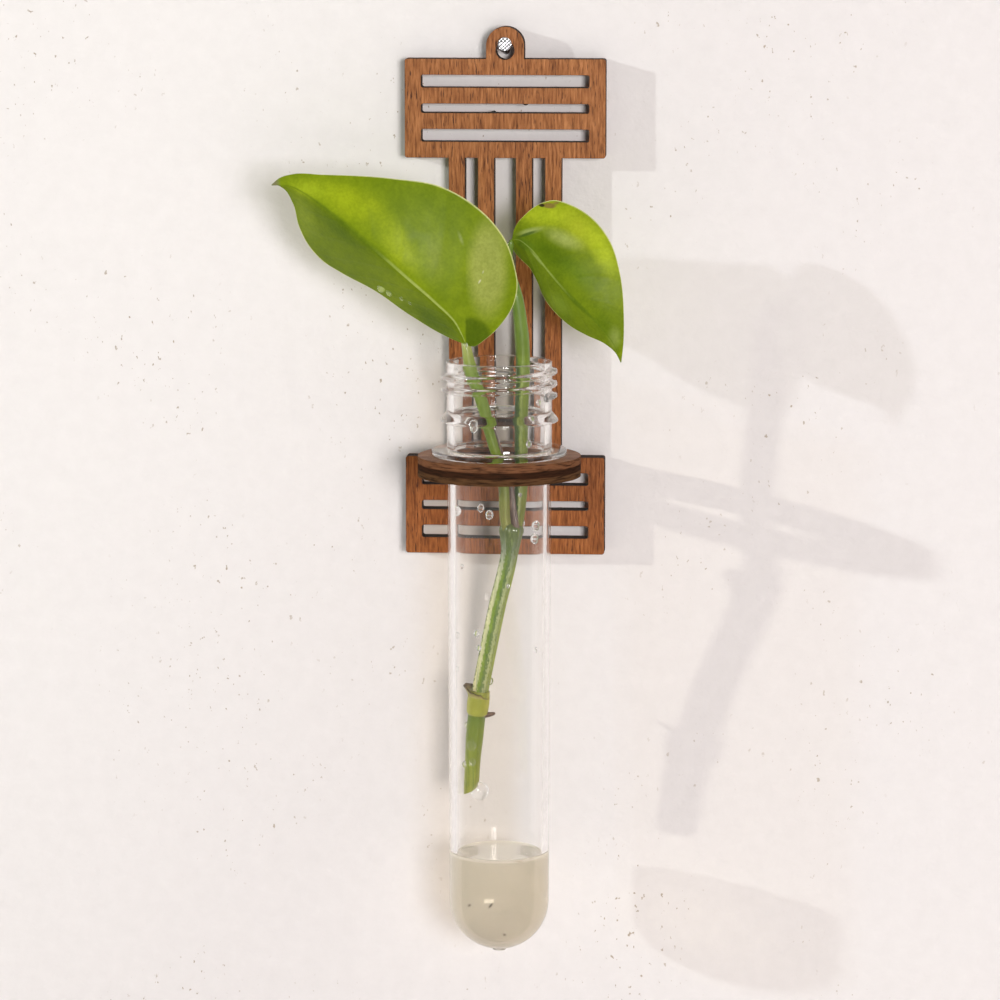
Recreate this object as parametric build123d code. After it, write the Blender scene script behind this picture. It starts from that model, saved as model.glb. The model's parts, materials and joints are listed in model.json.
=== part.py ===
"""Wall-hung propagation vase, in millimetres, +Z up, front towards -Y.

A fretted plywood plate hangs on a nail by its round tab. A plywood ring, tenoned into
the plate's column, holds a clear round-bottomed tube with a threaded neck. The tube holds
some water and a cutting of stem, two leaf stalks and two leaves.
The origin is the point where the nail's axis meets the wall, and the wall is the plane y = 0.
"""
import os
from math import atan2, cos, degrees, radians, sin, sqrt, tan

from build123d import *
from numpy import interp

# Plywood sheet that the plate and the ring are cut from
PLY = 4.8

# Nail
NAIL_RADIUS = 0.95
NAIL_TILT = 15.3           # degrees above the level, head up
NAIL_IN_WALL = 20.0
NAIL_POINT = 2.5           # length of the pointed end, within the length in the wall
GRIP_GROOVES = 3           # grip marks pressed round the free shank, first one near the wall
GRIP_START = 0.3
GRIP_WIDTH = 0.7
GRIP_PITCH = 1.1
GRIP_DEPTH = 0.12
NAIL_HEAD_RADIUS = 1.65
NAIL_HEAD_THICKNESS = 0.8
NAIL_HEAD_STAND_OFF = 0.85  # from the plate's face to the head's underside, on the nail's axis
HANG_CLEARANCE = 0.06      # between the top of the hole and the shank it hangs on

# Back plate: two slotted blocks, a barred column between them and a tab on top
PLATE_WIDTH = 48.0
RAIL = 3.85                # level bars of a block
OUTER_SLOT = 3.0           # upper and lower level slots of a block
MIDDLE_SLOT = 2.2
STILE = 3.9                # plate left beside the ends of the level slots
COLUMN_HEIGHT = 72.0
BAR = 3.9                  # upright bars of the column
SIDE_SLOT = 3.1
CENTRE_SLOT = 5.2
SLOT_CORNER = 0.5
PLATE_CORNER = 0.6
TAB_RADIUS = 4.55
TAB_RISE = 3.1             # tab's arc centre above the plate's top edge
HOLE_RADIUS = 2.2
HOLE_RISE = 2.0            # hole's centre above the plate's top edge
MORTISE_DROP = 1.6         # the column's slots run this far into the lower block

# Ring that carries the tube
RING_RADIUS = 19.3
RING_GAP = 0.4             # free space between the ring's round and the plate
SHOULDER_WIDTH = 22.0
TENON_CLEARANCE = 0.05     # each side of a tenon in its slot
RING_CLEARANCE = 0.3       # round the tube
SEAT_CLEARANCE = 0.05      # flange to ring

# Tube, with heights measured down from its mouth
TUBE_LENGTH = 142.0
TUBE_WALL = 1.75
NECK_RADIUS = 12.45
NECK_WALL = 1.6
NECK_HEIGHT = 22.4         # mouth to the underside of the flange
LIP_ROUND = 0.4
THREAD_RADIUS = 13.7
THREAD_PITCH = 2.9
THREAD_TOP_DROP = 1.83     # mouth to the middle of the thread's upper end
THREAD_DROP = 8.5          # mouth to the middle of its lower end
THREAD_START = -30.0       # degrees round from +X
THREAD_ROOT = 1.7          # width at the neck
THREAD_CREST = 0.7
BEAD_RADIUS = 13.9
BEAD_DROP = 14.3           # mouth to the flat underside of the bead
BEAD_LAND = 0.6
BEAD_SLOPE = 1.8           # height of the sloped upper side
FLANGE_RADIUS = 16.0
FLANGE_THICKNESS = 1.5
BODY_TOP_RADIUS = 12.4
BODY_LOW_RADIUS = 11.9     # where the round bottom begins
WATER_DEPTH = 21.8         # from the bottom of the bore
WATER_CLEARANCE = 0.05

# Cutting: points are (right, back, up) from the centre of the tube's mouth
STEM_RADIUS = 2.0
SWELL_RADIUS = 2.7         # swelling under the lower node
SWELL_DROP = 3.4           # its middle below the node
CUT_RISE = 1.6             # slant of the cut across the stem's end
FOOT_RISE = 14.45          # cut end above the water
FOOT_ANGLE = 154.0         # degrees round from +X, where the foot leans on the bore
LEAN_CLEARANCE = 0.35      # between the foot and the bore
LOWER_NODE = (2.0, -1.1, 24.5)      # from the foot
UPPER_NODE = (2.9, -0.4, -38.4)
UPPER_NODE_RADIUS = 2.9
STEM_BEND = (0.9, -0.2, 0)          # how far the upper internode bows off its straight line
COLLAR_RADIUS = 3.4
COLLAR_WALL = 0.8
COLLAR_HEIGHT = 2.6
COLLAR_CLEARANCE = 0.25
NUB_RADIUS = 0.75
NUB_TIP_RADIUS = 0.35
NUB_LENGTH = 2.6
NUB_DROP = 4.9             # below the lower node
STALK_BASE_RADIUS = 1.45
LEFT_STALK_BASE = (-1.35, -0.6)     # from the upper node
RIGHT_STALK_BASE = (1.6, 0.6)
STALK_RADIUS = 1.35
STALK_TIP_RADIUS = 1.1
LEFT_STALK = [(1.3, -1.6, -29.5), (-1.2, -2.7, -19.5), (-4.0, -4.2, -8.5), (-6.5, -5.6, 0.5), (-7.1, -6.4, 4.4)]
RIGHT_STALK = [(5.2, 0.4, -29.5), (5.1, 0.3, -15.0), (5.3, -0.3, 1.5), (4.6, -1.3, 14.0), (3.3, -2.4, 28.6)]
STALK_STEPS = 12           # circles along each shoot
SHEATH_HEIGHT = 9.0
SHEATH_WIDTH = 2.6
SHEATH_THICKNESS = 0.7
SHEATH_STEP = 2.25         # in front of the upper node's centre
SHEATH_LEAN = (-0.6, -0.4)  # of its tip

# Leaves: stations run from the stalk to the tip along the chord, with the lower and upper
# margins measured across it. The blade folds along its midrib and bows towards the front.
LEAF_THICKNESS = 0.9
LEAF_FOLD_ROUND = 1.2
LEAF_INWARD = (0.6, 0.8)   # across and back, the way from the face of a blade to its underside
LEFT_LEAF_BASE = (-7.3, -7.2, 4.6)
LEFT_LEAF_ANGLE = 139.1    # chord, degrees round from +X towards +Z
LEFT_LEAF_BOW = 85.0       # radius of the bow along the chord
LEFT_LEAF_CROWN = 32.0     # station that stands furthest forward
LEFT_LEAF_MIDRIB = 3.4     # rise of the midrib above the chord
LEFT_LEAF_SLOPES = (0.12, 1.3)  # upper side, lower side
LEFT_LEAF_CURL = 83.0      # radius that both sides curl back to
LEFT_LEAF = [(-3.1, 6.4, 10.8), (-1.6, 1.2, 15.4), (3.5, -1.6, 21.2), (11.5, -3.6, 25.3), (22.0, -5.1, 25.9),
             (34.0, -8.1, 21.6), (45.0, -7.4, 13.4), (52.3, -1.9, 7.6), (57.4, -0.3, 3.0), (58.9, -0.9, -0.2)]
RIGHT_LEAF_BASE = (3.2, -3.2, 29.0)
RIGHT_LEAF_ANGLE = -48.2
RIGHT_LEAF_BOW = 60.0
RIGHT_LEAF_CROWN = 19.0
RIGHT_LEAF_MIDRIB = 1.4
RIGHT_LEAF_SLOPES = (0.12, 1.2)
RIGHT_LEAF_CURL = 62.5
RIGHT_LEAF = [(-2.2, 4.6, 8.6), (-1.2, 1.4, 12.1), (3.0, -1.5, 15.7), (9.5, -1.8, 17.4), (16.0, -3.8, 16.9),
              (23.0, -3.9, 13.7), (30.0, -1.3, 8.6), (35.5, 0.3, 3.3), (38.6, -0.2, 0.3)]

# Places that follow from the sizes above
BLOCK_HEIGHT = 4 * RAIL + 2 * OUTER_SLOT + MIDDLE_SLOT
COLUMN_WIDTH = 4 * BAR + 2 * SIDE_SLOT + CENTRE_SLOT
SIDE_SLOT_X = CENTRE_SLOT / 2 + BAR + SIDE_SLOT / 2
SHANK_TOP = PLY * tan(radians(NAIL_TILT)) + NAIL_RADIUS / cos(radians(NAIL_TILT))
HOLE_Z = SHANK_TOP + HANG_CLEARANCE - HOLE_RADIUS
PLATE_TOP = HOLE_Z - HOLE_RISE
COLUMN_TOP = PLATE_TOP - BLOCK_HEIGHT
LOWER_BLOCK_TOP = COLUMN_TOP - COLUMN_HEIGHT
SLOT_END = LOWER_BLOCK_TOP - MORTISE_DROP
RING_TOP = SLOT_END + PLY
TUBE_Y = -(PLY + RING_GAP + RING_RADIUS)
MOUTH_Z = RING_TOP + SEAT_CLEARANCE + NECK_HEIGHT
MOUTH = Vector(0, TUBE_Y, MOUTH_Z)
NECK_BORE = NECK_RADIUS - NECK_WALL
BODY_TOP_BORE = BODY_TOP_RADIUS - TUBE_WALL
LOW_BORE = BODY_LOW_RADIUS - TUBE_WALL
BODY_LOW_DROP = TUBE_LENGTH - BODY_LOW_RADIUS
WATER_DROP = TUBE_LENGTH - TUBE_WALL - WATER_DEPTH
FOOT_REACH = LOW_BORE - STEM_RADIUS - LEAN_CLEARANCE
FOOT_Z = FOOT_RISE - WATER_DROP
FOOT = Vector(FOOT_REACH * cos(radians(FOOT_ANGLE)), FOOT_REACH * sin(radians(FOOT_ANGLE)), FOOT_Z)


def slots_of_block(top):
    """The three level slots of one block, as a sketch in the plate's face."""
    slot_length = PLATE_WIDTH - 2 * STILE
    sketch = Sketch()
    edge = top - RAIL
    for height in (OUTER_SLOT, MIDDLE_SLOT, OUTER_SLOT):
        sketch += Pos(0, edge - height / 2) * RectangleRounded(slot_length, height, SLOT_CORNER)
        edge -= height + RAIL
    return sketch


def back_plate():
    """Two blocks and a column with their slots, and the tab with its hole, cut from one sheet."""
    face = Sketch()
    for top in (PLATE_TOP, LOWER_BLOCK_TOP):
        face += Pos(0, top - BLOCK_HEIGHT / 2) * RectangleRounded(PLATE_WIDTH, BLOCK_HEIGHT, PLATE_CORNER)
    overlap = RAIL / 2
    face += Pos(0, COLUMN_TOP - COLUMN_HEIGHT / 2) * Rectangle(COLUMN_WIDTH, COLUMN_HEIGHT + 2 * overlap)
    tab_centre = PLATE_TOP + TAB_RISE
    face += Pos(0, tab_centre) * Circle(TAB_RADIUS)
    face += Pos(0, tab_centre - (TAB_RISE + overlap) / 2) * Rectangle(2 * TAB_RADIUS, TAB_RISE + overlap)
    face -= slots_of_block(PLATE_TOP)
    face -= slots_of_block(LOWER_BLOCK_TOP)
    for x, width in ((-SIDE_SLOT_X, SIDE_SLOT), (0, CENTRE_SLOT), (SIDE_SLOT_X, SIDE_SLOT)):
        length = COLUMN_TOP - SLOT_END
        face -= Pos(x, COLUMN_TOP - length / 2) * Rectangle(width, length)
    face -= Pos(0, HOLE_Z) * Circle(HOLE_RADIUS)
    return extrude(Plane.XZ * face, PLY)


def tube_ring():
    """Ring with a straight shoulder against the plate and three tenons through the column's slots."""
    sketch = Pos(0, TUBE_Y) * Circle(RING_RADIUS)
    sketch += Pos(0, (TUBE_Y - PLY) / 2) * Rectangle(SHOULDER_WIDTH, -TUBE_Y - PLY)
    for x, width in ((-SIDE_SLOT_X, SIDE_SLOT), (0, CENTRE_SLOT), (SIDE_SLOT_X, SIDE_SLOT)):
        sketch += Pos(x, -PLY / 2 - RING_GAP / 2) * Rectangle(width - 2 * TENON_CLEARANCE, PLY + RING_GAP)
    sketch -= Pos(0, TUBE_Y) * Circle(BODY_TOP_RADIUS + RING_CLEARANCE)
    return Pos(0, 0, SLOT_END) * extrude(sketch, PLY)


def wall_nail():
    """Round wire nail with grip marks and a flat head, its axis through the origin."""
    stand_off = (PLY + NAIL_HEAD_STAND_OFF) / cos(radians(NAIL_TILT))
    side = [(0, -NAIL_IN_WALL), (NAIL_RADIUS, NAIL_POINT - NAIL_IN_WALL)]
    for groove in range(GRIP_GROOVES):
        start = GRIP_START + groove * GRIP_PITCH
        side += [
            (NAIL_RADIUS, start),
            (NAIL_RADIUS - GRIP_DEPTH, start + GRIP_WIDTH / 2),
            (NAIL_RADIUS, start + GRIP_WIDTH),
        ]
    side += [
        (NAIL_RADIUS, stand_off),
        (NAIL_HEAD_RADIUS, stand_off),
        (NAIL_HEAD_RADIUS, stand_off + NAIL_HEAD_THICKNESS),
        (0, stand_off + NAIL_HEAD_THICKNESS),
    ]
    nail = revolve(Plane.XZ * make_face(Polyline(*side, close=True)), Axis.Z)
    return Rot(X=90 - NAIL_TILT) * nail


def neck_thread():
    """Right-hand thread as a trapezoid carried along a helix, sunk a little into the neck."""
    sink = NECK_WALL / 4
    helix = Helix(THREAD_PITCH, THREAD_DROP - THREAD_TOP_DROP, NECK_RADIUS)
    crest = THREAD_RADIUS - NECK_RADIUS
    tooth = Polyline(
        (-sink, -THREAD_ROOT / 2),
        (crest, -THREAD_CREST / 2),
        (crest, THREAD_CREST / 2),
        (-sink, THREAD_ROOT / 2),
        close=True,
    )
    section = Plane(helix @ 0, x_dir=(1, 0, 0), z_dir=helix % 0) * make_face(tooth)
    thread = sweep(section, helix, is_frenet=True)
    return Pos(0, 0, -THREAD_DROP) * Rot(Z=THREAD_START) * thread


def tube():
    """Turned half-profile of neck, bead, flange, tapering body and round bottom, plus the thread."""
    bead_top = -(BEAD_DROP - BEAD_LAND - BEAD_SLOPE)
    flange_top = -(NECK_HEIGHT - FLANGE_THICKNESS)
    outer = Polyline(
        (NECK_BORE, 0),
        (NECK_RADIUS - LIP_ROUND, 0),
        (NECK_RADIUS, -LIP_ROUND),
        (NECK_RADIUS, bead_top),
        (BEAD_RADIUS, -(BEAD_DROP - BEAD_LAND)),
        (BEAD_RADIUS, -BEAD_DROP),
        (NECK_RADIUS, -BEAD_DROP),
        (NECK_RADIUS, flange_top),
        (FLANGE_RADIUS, flange_top),
        (FLANGE_RADIUS, -NECK_HEIGHT),
        (BODY_TOP_RADIUS, -NECK_HEIGHT),
        (BODY_LOW_RADIUS, -BODY_LOW_DROP),
    )
    half_turn = sqrt(0.5)
    bottom = ThreePointArc(
        (BODY_LOW_RADIUS, -BODY_LOW_DROP),
        (BODY_LOW_RADIUS * half_turn, -BODY_LOW_DROP - BODY_LOW_RADIUS * half_turn),
        (0, -TUBE_LENGTH),
    )
    floor = Line((0, -TUBE_LENGTH), (0, -TUBE_LENGTH + TUBE_WALL))
    bore_bottom = ThreePointArc(
        (0, -TUBE_LENGTH + TUBE_WALL),
        (LOW_BORE * half_turn, -BODY_LOW_DROP - LOW_BORE * half_turn),
        (LOW_BORE, -BODY_LOW_DROP),
    )
    bore = Polyline(
        (LOW_BORE, -BODY_LOW_DROP),
        (BODY_TOP_BORE, -NECK_HEIGHT),
        (NECK_BORE, flange_top),
        (NECK_BORE, 0),
    )
    profile = make_face([outer, bottom, floor, bore_bottom, bore])
    blank = revolve(Plane.XZ * profile, Axis.Z)
    return Pos(MOUTH) * (blank + neck_thread())


def water():
    """Water standing in the round bottom, a hair clear of the bore."""
    radius = LOW_BORE - WATER_CLEARANCE
    bottom = -BODY_LOW_DROP - radius
    body = Cylinder(radius, BODY_LOW_DROP - WATER_DROP, align=(Align.CENTER, Align.CENTER, Align.MIN))
    bowl = Sphere(radius) & Box(2 * radius, 2 * radius, radius, align=(Align.CENTER, Align.CENTER, Align.MAX))
    return Pos(MOUTH) * Pos(0, 0, bottom + radius) * (body + bowl)


def stalk(points, radii, tangents=()):
    """A shoot along a smooth line through points from the mouth, as a loft of circles square to it.

    radii are spread evenly along the line, and tangents are the ways that its two ends look.
    """
    line = Spline(*[MOUTH + Vector(*point) for point in points], tangents=tangents)
    spread = [index / (len(radii) - 1) for index in range(len(radii))]
    rings = []
    for step in range(STALK_STEPS + 1):
        share = step / STALK_STEPS
        aim = line % share
        side = Vector(0, 1, 0).cross(aim)
        ring = Circle(float(interp(share, spread, radii)))
        rings.append(Plane(line @ share, x_dir=side, z_dir=aim) * ring)
    return loft(rings)


def lower_node():
    """Centre of the lower node, from the mouth."""
    return FOOT + Vector(*LOWER_NODE)


def lower_node_aim():
    """Direction of the stem through the lower node, half way between its two internodes."""
    return Vector(*LOWER_NODE).normalized() + (Vector(*UPPER_NODE) - lower_node()).normalized()


def stem_lower():
    """Lower internode, swollen under its node, with a slanted cut at the foot.

    The swelling is a raised cosine along the run, centred SWELL_DROP below the node.
    """
    run = Vector(*LOWER_NODE)
    radii = []
    for step in range(STALK_STEPS + 1):
        below_node = run.Z * (1 - step / STALK_STEPS)
        away = min(abs(below_node - SWELL_DROP) / SWELL_DROP, 1)
        radii.append(STEM_RADIUS + (SWELL_RADIUS - STEM_RADIUS) * (1 + cos(radians(180 * away))) / 2)
    shoot = stalk([tuple(FOOT), tuple(lower_node())], radii, (run, lower_node_aim()))
    heel = MOUTH + FOOT + Vector(0, 0, CUT_RISE / 2)
    knife_size = 6 * STEM_RADIUS
    knife = Box(knife_size, knife_size, knife_size, align=(Align.CENTER, Align.CENTER, Align.MAX))
    return shoot - Pos(heel) * Rot(Y=-degrees(atan2(CUT_RISE, 2 * STEM_RADIUS))) * knife


def stem_upper():
    """Upper internode, from the lower node to the node that carries the leaf stalks."""
    low = lower_node()
    top = Vector(*UPPER_NODE)
    middle = (low + top) / 2 + Vector(*STEM_BEND)
    radii = [STEM_RADIUS, STEM_RADIUS, STEM_RADIUS, STEM_RADIUS, UPPER_NODE_RADIUS]
    return stalk([tuple(low), tuple(middle), UPPER_NODE], radii, (lower_node_aim(), Vector(0, 0, 1)))


def leaf_scar_collar():
    """Open cup left round the lower node by an old leaf."""
    aim = lower_node_aim()
    inner = STEM_RADIUS + COLLAR_CLEARANCE
    outside = Cone(inner + COLLAR_WALL, COLLAR_RADIUS, COLLAR_HEIGHT)
    inside = Cone(inner, COLLAR_RADIUS - COLLAR_WALL, COLLAR_HEIGHT)
    place = Plane(MOUTH + lower_node(), x_dir=Vector(0, 1, 0).cross(aim), z_dir=aim)
    return place * Pos(0, 0, COLLAR_HEIGHT / 2) * (outside - inside)


def root_nub():
    """Short root just breaking out of the swelling, to the right."""
    run = Vector(*LOWER_NODE)
    start = lower_node() - run * (NUB_DROP / run.Z) + Vector(STEM_RADIUS, 0, 0)
    tip = start + Vector(NUB_LENGTH, 0, NUB_RADIUS / 2)
    return stalk([tuple(start), tuple(tip)], [NUB_RADIUS, NUB_TIP_RADIUS])


def leaf_stalk(base, points):
    """One petiole, standing on the upper node and tapering to its leaf."""
    foot = (UPPER_NODE[0] + base[0], UPPER_NODE[1] + base[1], UPPER_NODE[2])
    outward = Vector(*points[-1]) - Vector(*points[-2])
    radii = [STALK_BASE_RADIUS, STALK_RADIUS, STALK_RADIUS, STALK_TIP_RADIUS]
    return stalk([foot] + points, radii, (Vector(0, 0, 1), outward))


def stem_sheath():
    """Dry papery sheath that stands in front of the two stalks, as a thin tapering blade."""
    foot = MOUTH + Vector(*UPPER_NODE) + Vector(0, -SHEATH_STEP, 0)
    lean = Vector(*SHEATH_LEAN, SHEATH_HEIGHT)
    sections = []
    for share, width in ((0.0, 1.0), (0.5, 0.8), (1.0, 0.25)):
        plane = Plane(foot + lean * share, x_dir=(1, 0, 0), z_dir=(0, 0, 1))
        sections.append(plane * Ellipse(SHEATH_WIDTH * width / 2, SHEATH_THICKNESS / 2))
    return loft(sections)


def leaf(base, angle, bow, crown, midrib, slopes, curl, stations):
    """A folded blade lofted through thin sections square to its chord.

    Depth at (p along the chord, q across it) is the bow's circle at p plus the fold: two slopes
    joined by a hyperbola at the midrib, and a curl that grows with the square of the distance.
    """
    upper, lower = slopes
    chord = Vector(cos(radians(angle)), 0, sin(radians(angle)))
    across = Vector(chord.Z, 0, -chord.X)
    if across.Z < 0:
        across = -across
    origin = MOUTH + Vector(*base)
    span = stations[-1][0]

    def depth(p, q):
        share = min(max(p / span, 0), 1)
        v = q - 4 * midrib * share * (1 - share)
        knuckle = sqrt(v * v + LEAF_FOLD_ROUND ** 2) - LEAF_FOLD_ROUND
        fold = (upper - lower) / 2 * v + (upper + lower) / 2 * knuckle
        arch = sqrt(bow ** 2 - crown ** 2) - sqrt(bow ** 2 - (p - crown) ** 2)
        return fold + v * v / (2 * curl) + arch

    shares = (0.0, 0.12, 0.25, 0.4, 0.7, 1.0)
    thick = (across * LEAF_INWARD[0] + Vector(0, LEAF_INWARD[1], 0)) * LEAF_THICKNESS
    sections = []
    for p, low, high in stations:
        front = [origin + chord * p + across * q + Vector(0, depth(p, q), 0)
                 for q in (low + (high - low) * share for share in shares)]
        back = [point + thick for point in front]
        rim = [Spline(*front), Line(front[-1], back[-1]), Spline(*reversed(back)), Line(back[0], front[0])]
        sections.append(make_face(rim))
    return loft(sections)


def leaf_left():
    """Large leaf, rising to the left."""
    return leaf(LEFT_LEAF_BASE, LEFT_LEAF_ANGLE, LEFT_LEAF_BOW, LEFT_LEAF_CROWN, LEFT_LEAF_MIDRIB,
                LEFT_LEAF_SLOPES, LEFT_LEAF_CURL, LEFT_LEAF)


def leaf_right():
    """Small leaf, hanging to the right."""
    return leaf(RIGHT_LEAF_BASE, RIGHT_LEAF_ANGLE, RIGHT_LEAF_BOW, RIGHT_LEAF_CROWN, RIGHT_LEAF_MIDRIB,
                RIGHT_LEAF_SLOPES, RIGHT_LEAF_CURL, RIGHT_LEAF)


PIECES = {
    "wall_nail": wall_nail(),
    "back_plate": back_plate(),
    "tube_ring": tube_ring(),
    "tube": tube(),
    "water": water(),
    "stem_lower": stem_lower(),
    "stem_upper": stem_upper(),
    "leaf_scar_collar": leaf_scar_collar(),
    "root_nub": root_nub(),
    "stem_sheath": stem_sheath(),
    "petiole_left": leaf_stalk(LEFT_STALK_BASE, LEFT_STALK),
    "petiole_right": leaf_stalk(RIGHT_STALK_BASE, RIGHT_STALK),
    "leaf_left": leaf_left(),
    "leaf_right": leaf_right(),
}

os.makedirs("parts", exist_ok=True)
for name, solid in PIECES.items():
    export_step(solid, f"parts/{name}.step")
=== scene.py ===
"""Wall-hung propagation vase: the finish of every piece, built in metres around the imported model."""
import json

import bpy
import numpy as np
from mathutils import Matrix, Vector


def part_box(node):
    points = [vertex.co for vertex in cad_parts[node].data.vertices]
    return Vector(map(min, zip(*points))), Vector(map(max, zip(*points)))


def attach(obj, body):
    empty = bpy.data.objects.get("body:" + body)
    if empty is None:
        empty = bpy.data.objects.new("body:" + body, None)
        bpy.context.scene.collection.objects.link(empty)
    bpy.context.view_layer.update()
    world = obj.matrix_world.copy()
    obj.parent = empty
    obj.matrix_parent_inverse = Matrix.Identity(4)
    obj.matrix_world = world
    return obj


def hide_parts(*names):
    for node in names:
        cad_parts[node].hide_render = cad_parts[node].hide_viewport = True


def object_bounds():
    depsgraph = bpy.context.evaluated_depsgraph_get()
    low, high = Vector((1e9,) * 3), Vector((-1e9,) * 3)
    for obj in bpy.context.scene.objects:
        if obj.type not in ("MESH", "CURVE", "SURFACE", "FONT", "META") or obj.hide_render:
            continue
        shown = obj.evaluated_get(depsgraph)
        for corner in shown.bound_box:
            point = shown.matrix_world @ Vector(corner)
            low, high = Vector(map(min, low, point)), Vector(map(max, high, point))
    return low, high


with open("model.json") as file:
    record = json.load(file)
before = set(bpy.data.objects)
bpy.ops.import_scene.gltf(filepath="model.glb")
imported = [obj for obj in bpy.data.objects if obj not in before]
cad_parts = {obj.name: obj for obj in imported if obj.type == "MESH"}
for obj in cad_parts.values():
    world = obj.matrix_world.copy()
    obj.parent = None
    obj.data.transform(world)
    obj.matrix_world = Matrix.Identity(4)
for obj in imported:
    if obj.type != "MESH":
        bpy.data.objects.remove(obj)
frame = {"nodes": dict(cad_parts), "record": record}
cad_box = [list(corner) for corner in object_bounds()]


# Wall nail: a zinc-plated wire nail driven into the wall, head up. The head carries the
# waffle of small pyramids that the tool pressed into it when the wire was upset.
MM = 0.001
NAIL_HEAD_RADIUS = 1.65
WAFFLE_PITCH = 0.62
WAFFLE_HEIGHT = 0.09
WAFFLE_LIFT = 0.02         # foot of the pyramids above the head's face
WAFFLE_SKIRT = 0.05        # edge of the waffle below that face


def full_turn(cols):
    """Even angles once round."""
    return np.linspace(0, 2 * np.pi, cols, endpoint=False)


def corners_of_grid(rows, cols):
    """Row and column numbers of the four corners of each cell; the last column meets the first."""
    row, col = np.meshgrid(np.arange(rows - 1), np.arange(cols), indexing="ij")
    row, col = row.ravel(), col.ravel()
    return np.stack([row, row, row + 1, row + 1], 1), np.stack([col, col + 1, col + 1, col], 1)


def corners_of_end(row, cols):
    """Corners of the triangles that close one end ring; the third stands for the ring's middle."""
    col = np.arange(cols)
    return np.full((cols, 2), row), np.stack([col, col + 1], 1)


def make_mesh(name, grids, along=None, around=None, sharp=40.0):
    """One mesh from closed shells, each a grid of points in millimetres with its columns in a ring.

    Each shell's ends are closed by fans to the middle of the end ring, and a shell whose signed
    volume is negative is turned round, so that its faces look outwards. The map's u runs along
    the rows and v round the columns.
    """
    points, faces, maps = [], [], []
    start = 0
    for grid in grids:
        rows, cols = grid.shape[:2]
        u = np.linspace(0, 1, rows) if along is None else along
        v = np.linspace(0, 1, cols + 1) if around is None else around
        flat = grid.reshape(-1, 3)
        ends = grid[[0, -1]].mean(axis=1)
        row, col = corners_of_grid(rows, cols)
        quads = row * cols + col % cols
        shell_faces = [quads]
        shell_maps = [np.stack([u[row], v[col]], -1)]
        for end, at_row in enumerate((0, rows - 1)):
            row, col = corners_of_end(at_row, cols)
            rim = at_row * cols + col % cols
            middle = np.full((cols, 1), rows * cols + end)
            fan = np.hstack([rim[:, ::-1] if end == 0 else rim, middle])
            spread = np.stack([u[row], v[col]], -1)
            spread = spread[:, ::-1] if end == 0 else spread
            shell_faces.append(fan)
            shell_maps.append(np.concatenate([spread, spread.mean(axis=1, keepdims=True)], axis=1))
        flat = np.vstack([flat, ends])
        a, b, c, d = (flat[quads[:, k]] for k in range(4))
        volume = np.einsum("ij,ij->", a, np.cross(b, c)) + np.einsum("ij,ij->", a, np.cross(c, d))
        for ring in shell_faces[1:]:
            a, b, c = (flat[ring[:, k]] for k in range(3))
            volume += np.einsum("ij,ij->", a, np.cross(b, c))
        turn = -1 if volume < 0 else 1
        points.append(flat)
        faces += [corner[:, ::turn] + start for corner in shell_faces]
        maps += [corner[:, ::turn].reshape(-1, 2) for corner in shell_maps]
        start += len(flat)
    mesh = bpy.data.meshes.new(name)
    cells = [cell for group in faces for cell in group.tolist()]
    mesh.from_pydata((np.vstack(points) * MM).tolist(), [], cells)
    layer = mesh.uv_layers.new(name="along_around")
    layer.data.foreach_set("uv", np.vstack(maps).ravel())
    mesh.shade_smooth()
    mesh.set_sharp_from_angle(angle=np.radians(sharp))
    mesh.validate()
    return mesh


def add_piece(name, mesh, material, body, slot, *nodes):
    """Puts a finished mesh into the scene on its body, standing for the CAD nodes named."""
    mesh.materials.append(material)
    piece = bpy.data.objects.new(name, mesh)
    bpy.context.scene.collection.objects.link(piece)
    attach(piece, body)
    if nodes:
        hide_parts(*nodes)


def new_finish(name):
    """A material with its tree and its Principled shader."""
    material = bpy.data.materials.new(name)
    material.use_nodes = True
    return material, material.node_tree, material.node_tree.nodes["Principled BSDF"]


def feed(tree, made, inputs):
    """Fills a node's inputs: a socket is linked, and any other value is set."""
    for key, value in inputs.items():
        if isinstance(value, bpy.types.NodeSocket):
            tree.links.new(value, made.inputs[key])
        else:
            made.inputs[key].default_value = value


def node(tree, kind, inputs=None, **settings):
    """A shader node with its settings and inputs."""
    made = tree.nodes.new("ShaderNode" + kind)
    for key, value in settings.items():
        setattr(made, key, value)
    feed(tree, made, inputs or {})
    return made


def object_place(tree, scale=(1, 1, 1)):
    """Object coordinates through a Mapping node."""
    here = node(tree, "TexCoord").outputs["Object"]
    return node(tree, "Mapping", {"Vector": here, "Scale": scale}).outputs["Vector"]


def noise(tree, vector, scale=1.0, detail=3.0, roughness=0.55):
    """Cloud noise from 0 to 1."""
    inputs = {"Vector": vector, "Scale": scale, "Detail": detail, "Roughness": roughness}
    return node(tree, "TexNoise", inputs).outputs["Fac"]


def ramp(tree, value, stops):
    """Colours spread evenly over a value between (place, (red, green, blue)) stops."""
    made = node(tree, "ValToRGB", {"Fac": value})
    band = made.color_ramp
    while len(band.elements) < len(stops):
        band.elements.new(0.5)
    for element, (place, colour) in zip(band.elements, stops):
        element.position = place
        element.color = (*colour, 1)
    return made.outputs["Color"]


def mix(tree, share, first, second, mode="MIX"):
    """Two colours mixed by a share."""
    made = node(tree, "Mix", {0: share}, data_type="RGBA", blend_type=mode)
    for key, colour in ((6, first), (7, second)):
        feed(tree, made, {key: colour if isinstance(colour, bpy.types.NodeSocket) else (*colour, 1)})
    return made.outputs[2]


def tint(tree, colour, value, stops):
    """A colour times the factors that a ramp over a value gives."""
    return mix(tree, 1.0, colour, ramp(tree, value, stops), "MULTIPLY")


def maths(tree, operation, first, second=0.0):
    """One step of arithmetic on two values."""
    return node(tree, "Math", {0: first, 1: second}, operation=operation).outputs[0]


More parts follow.
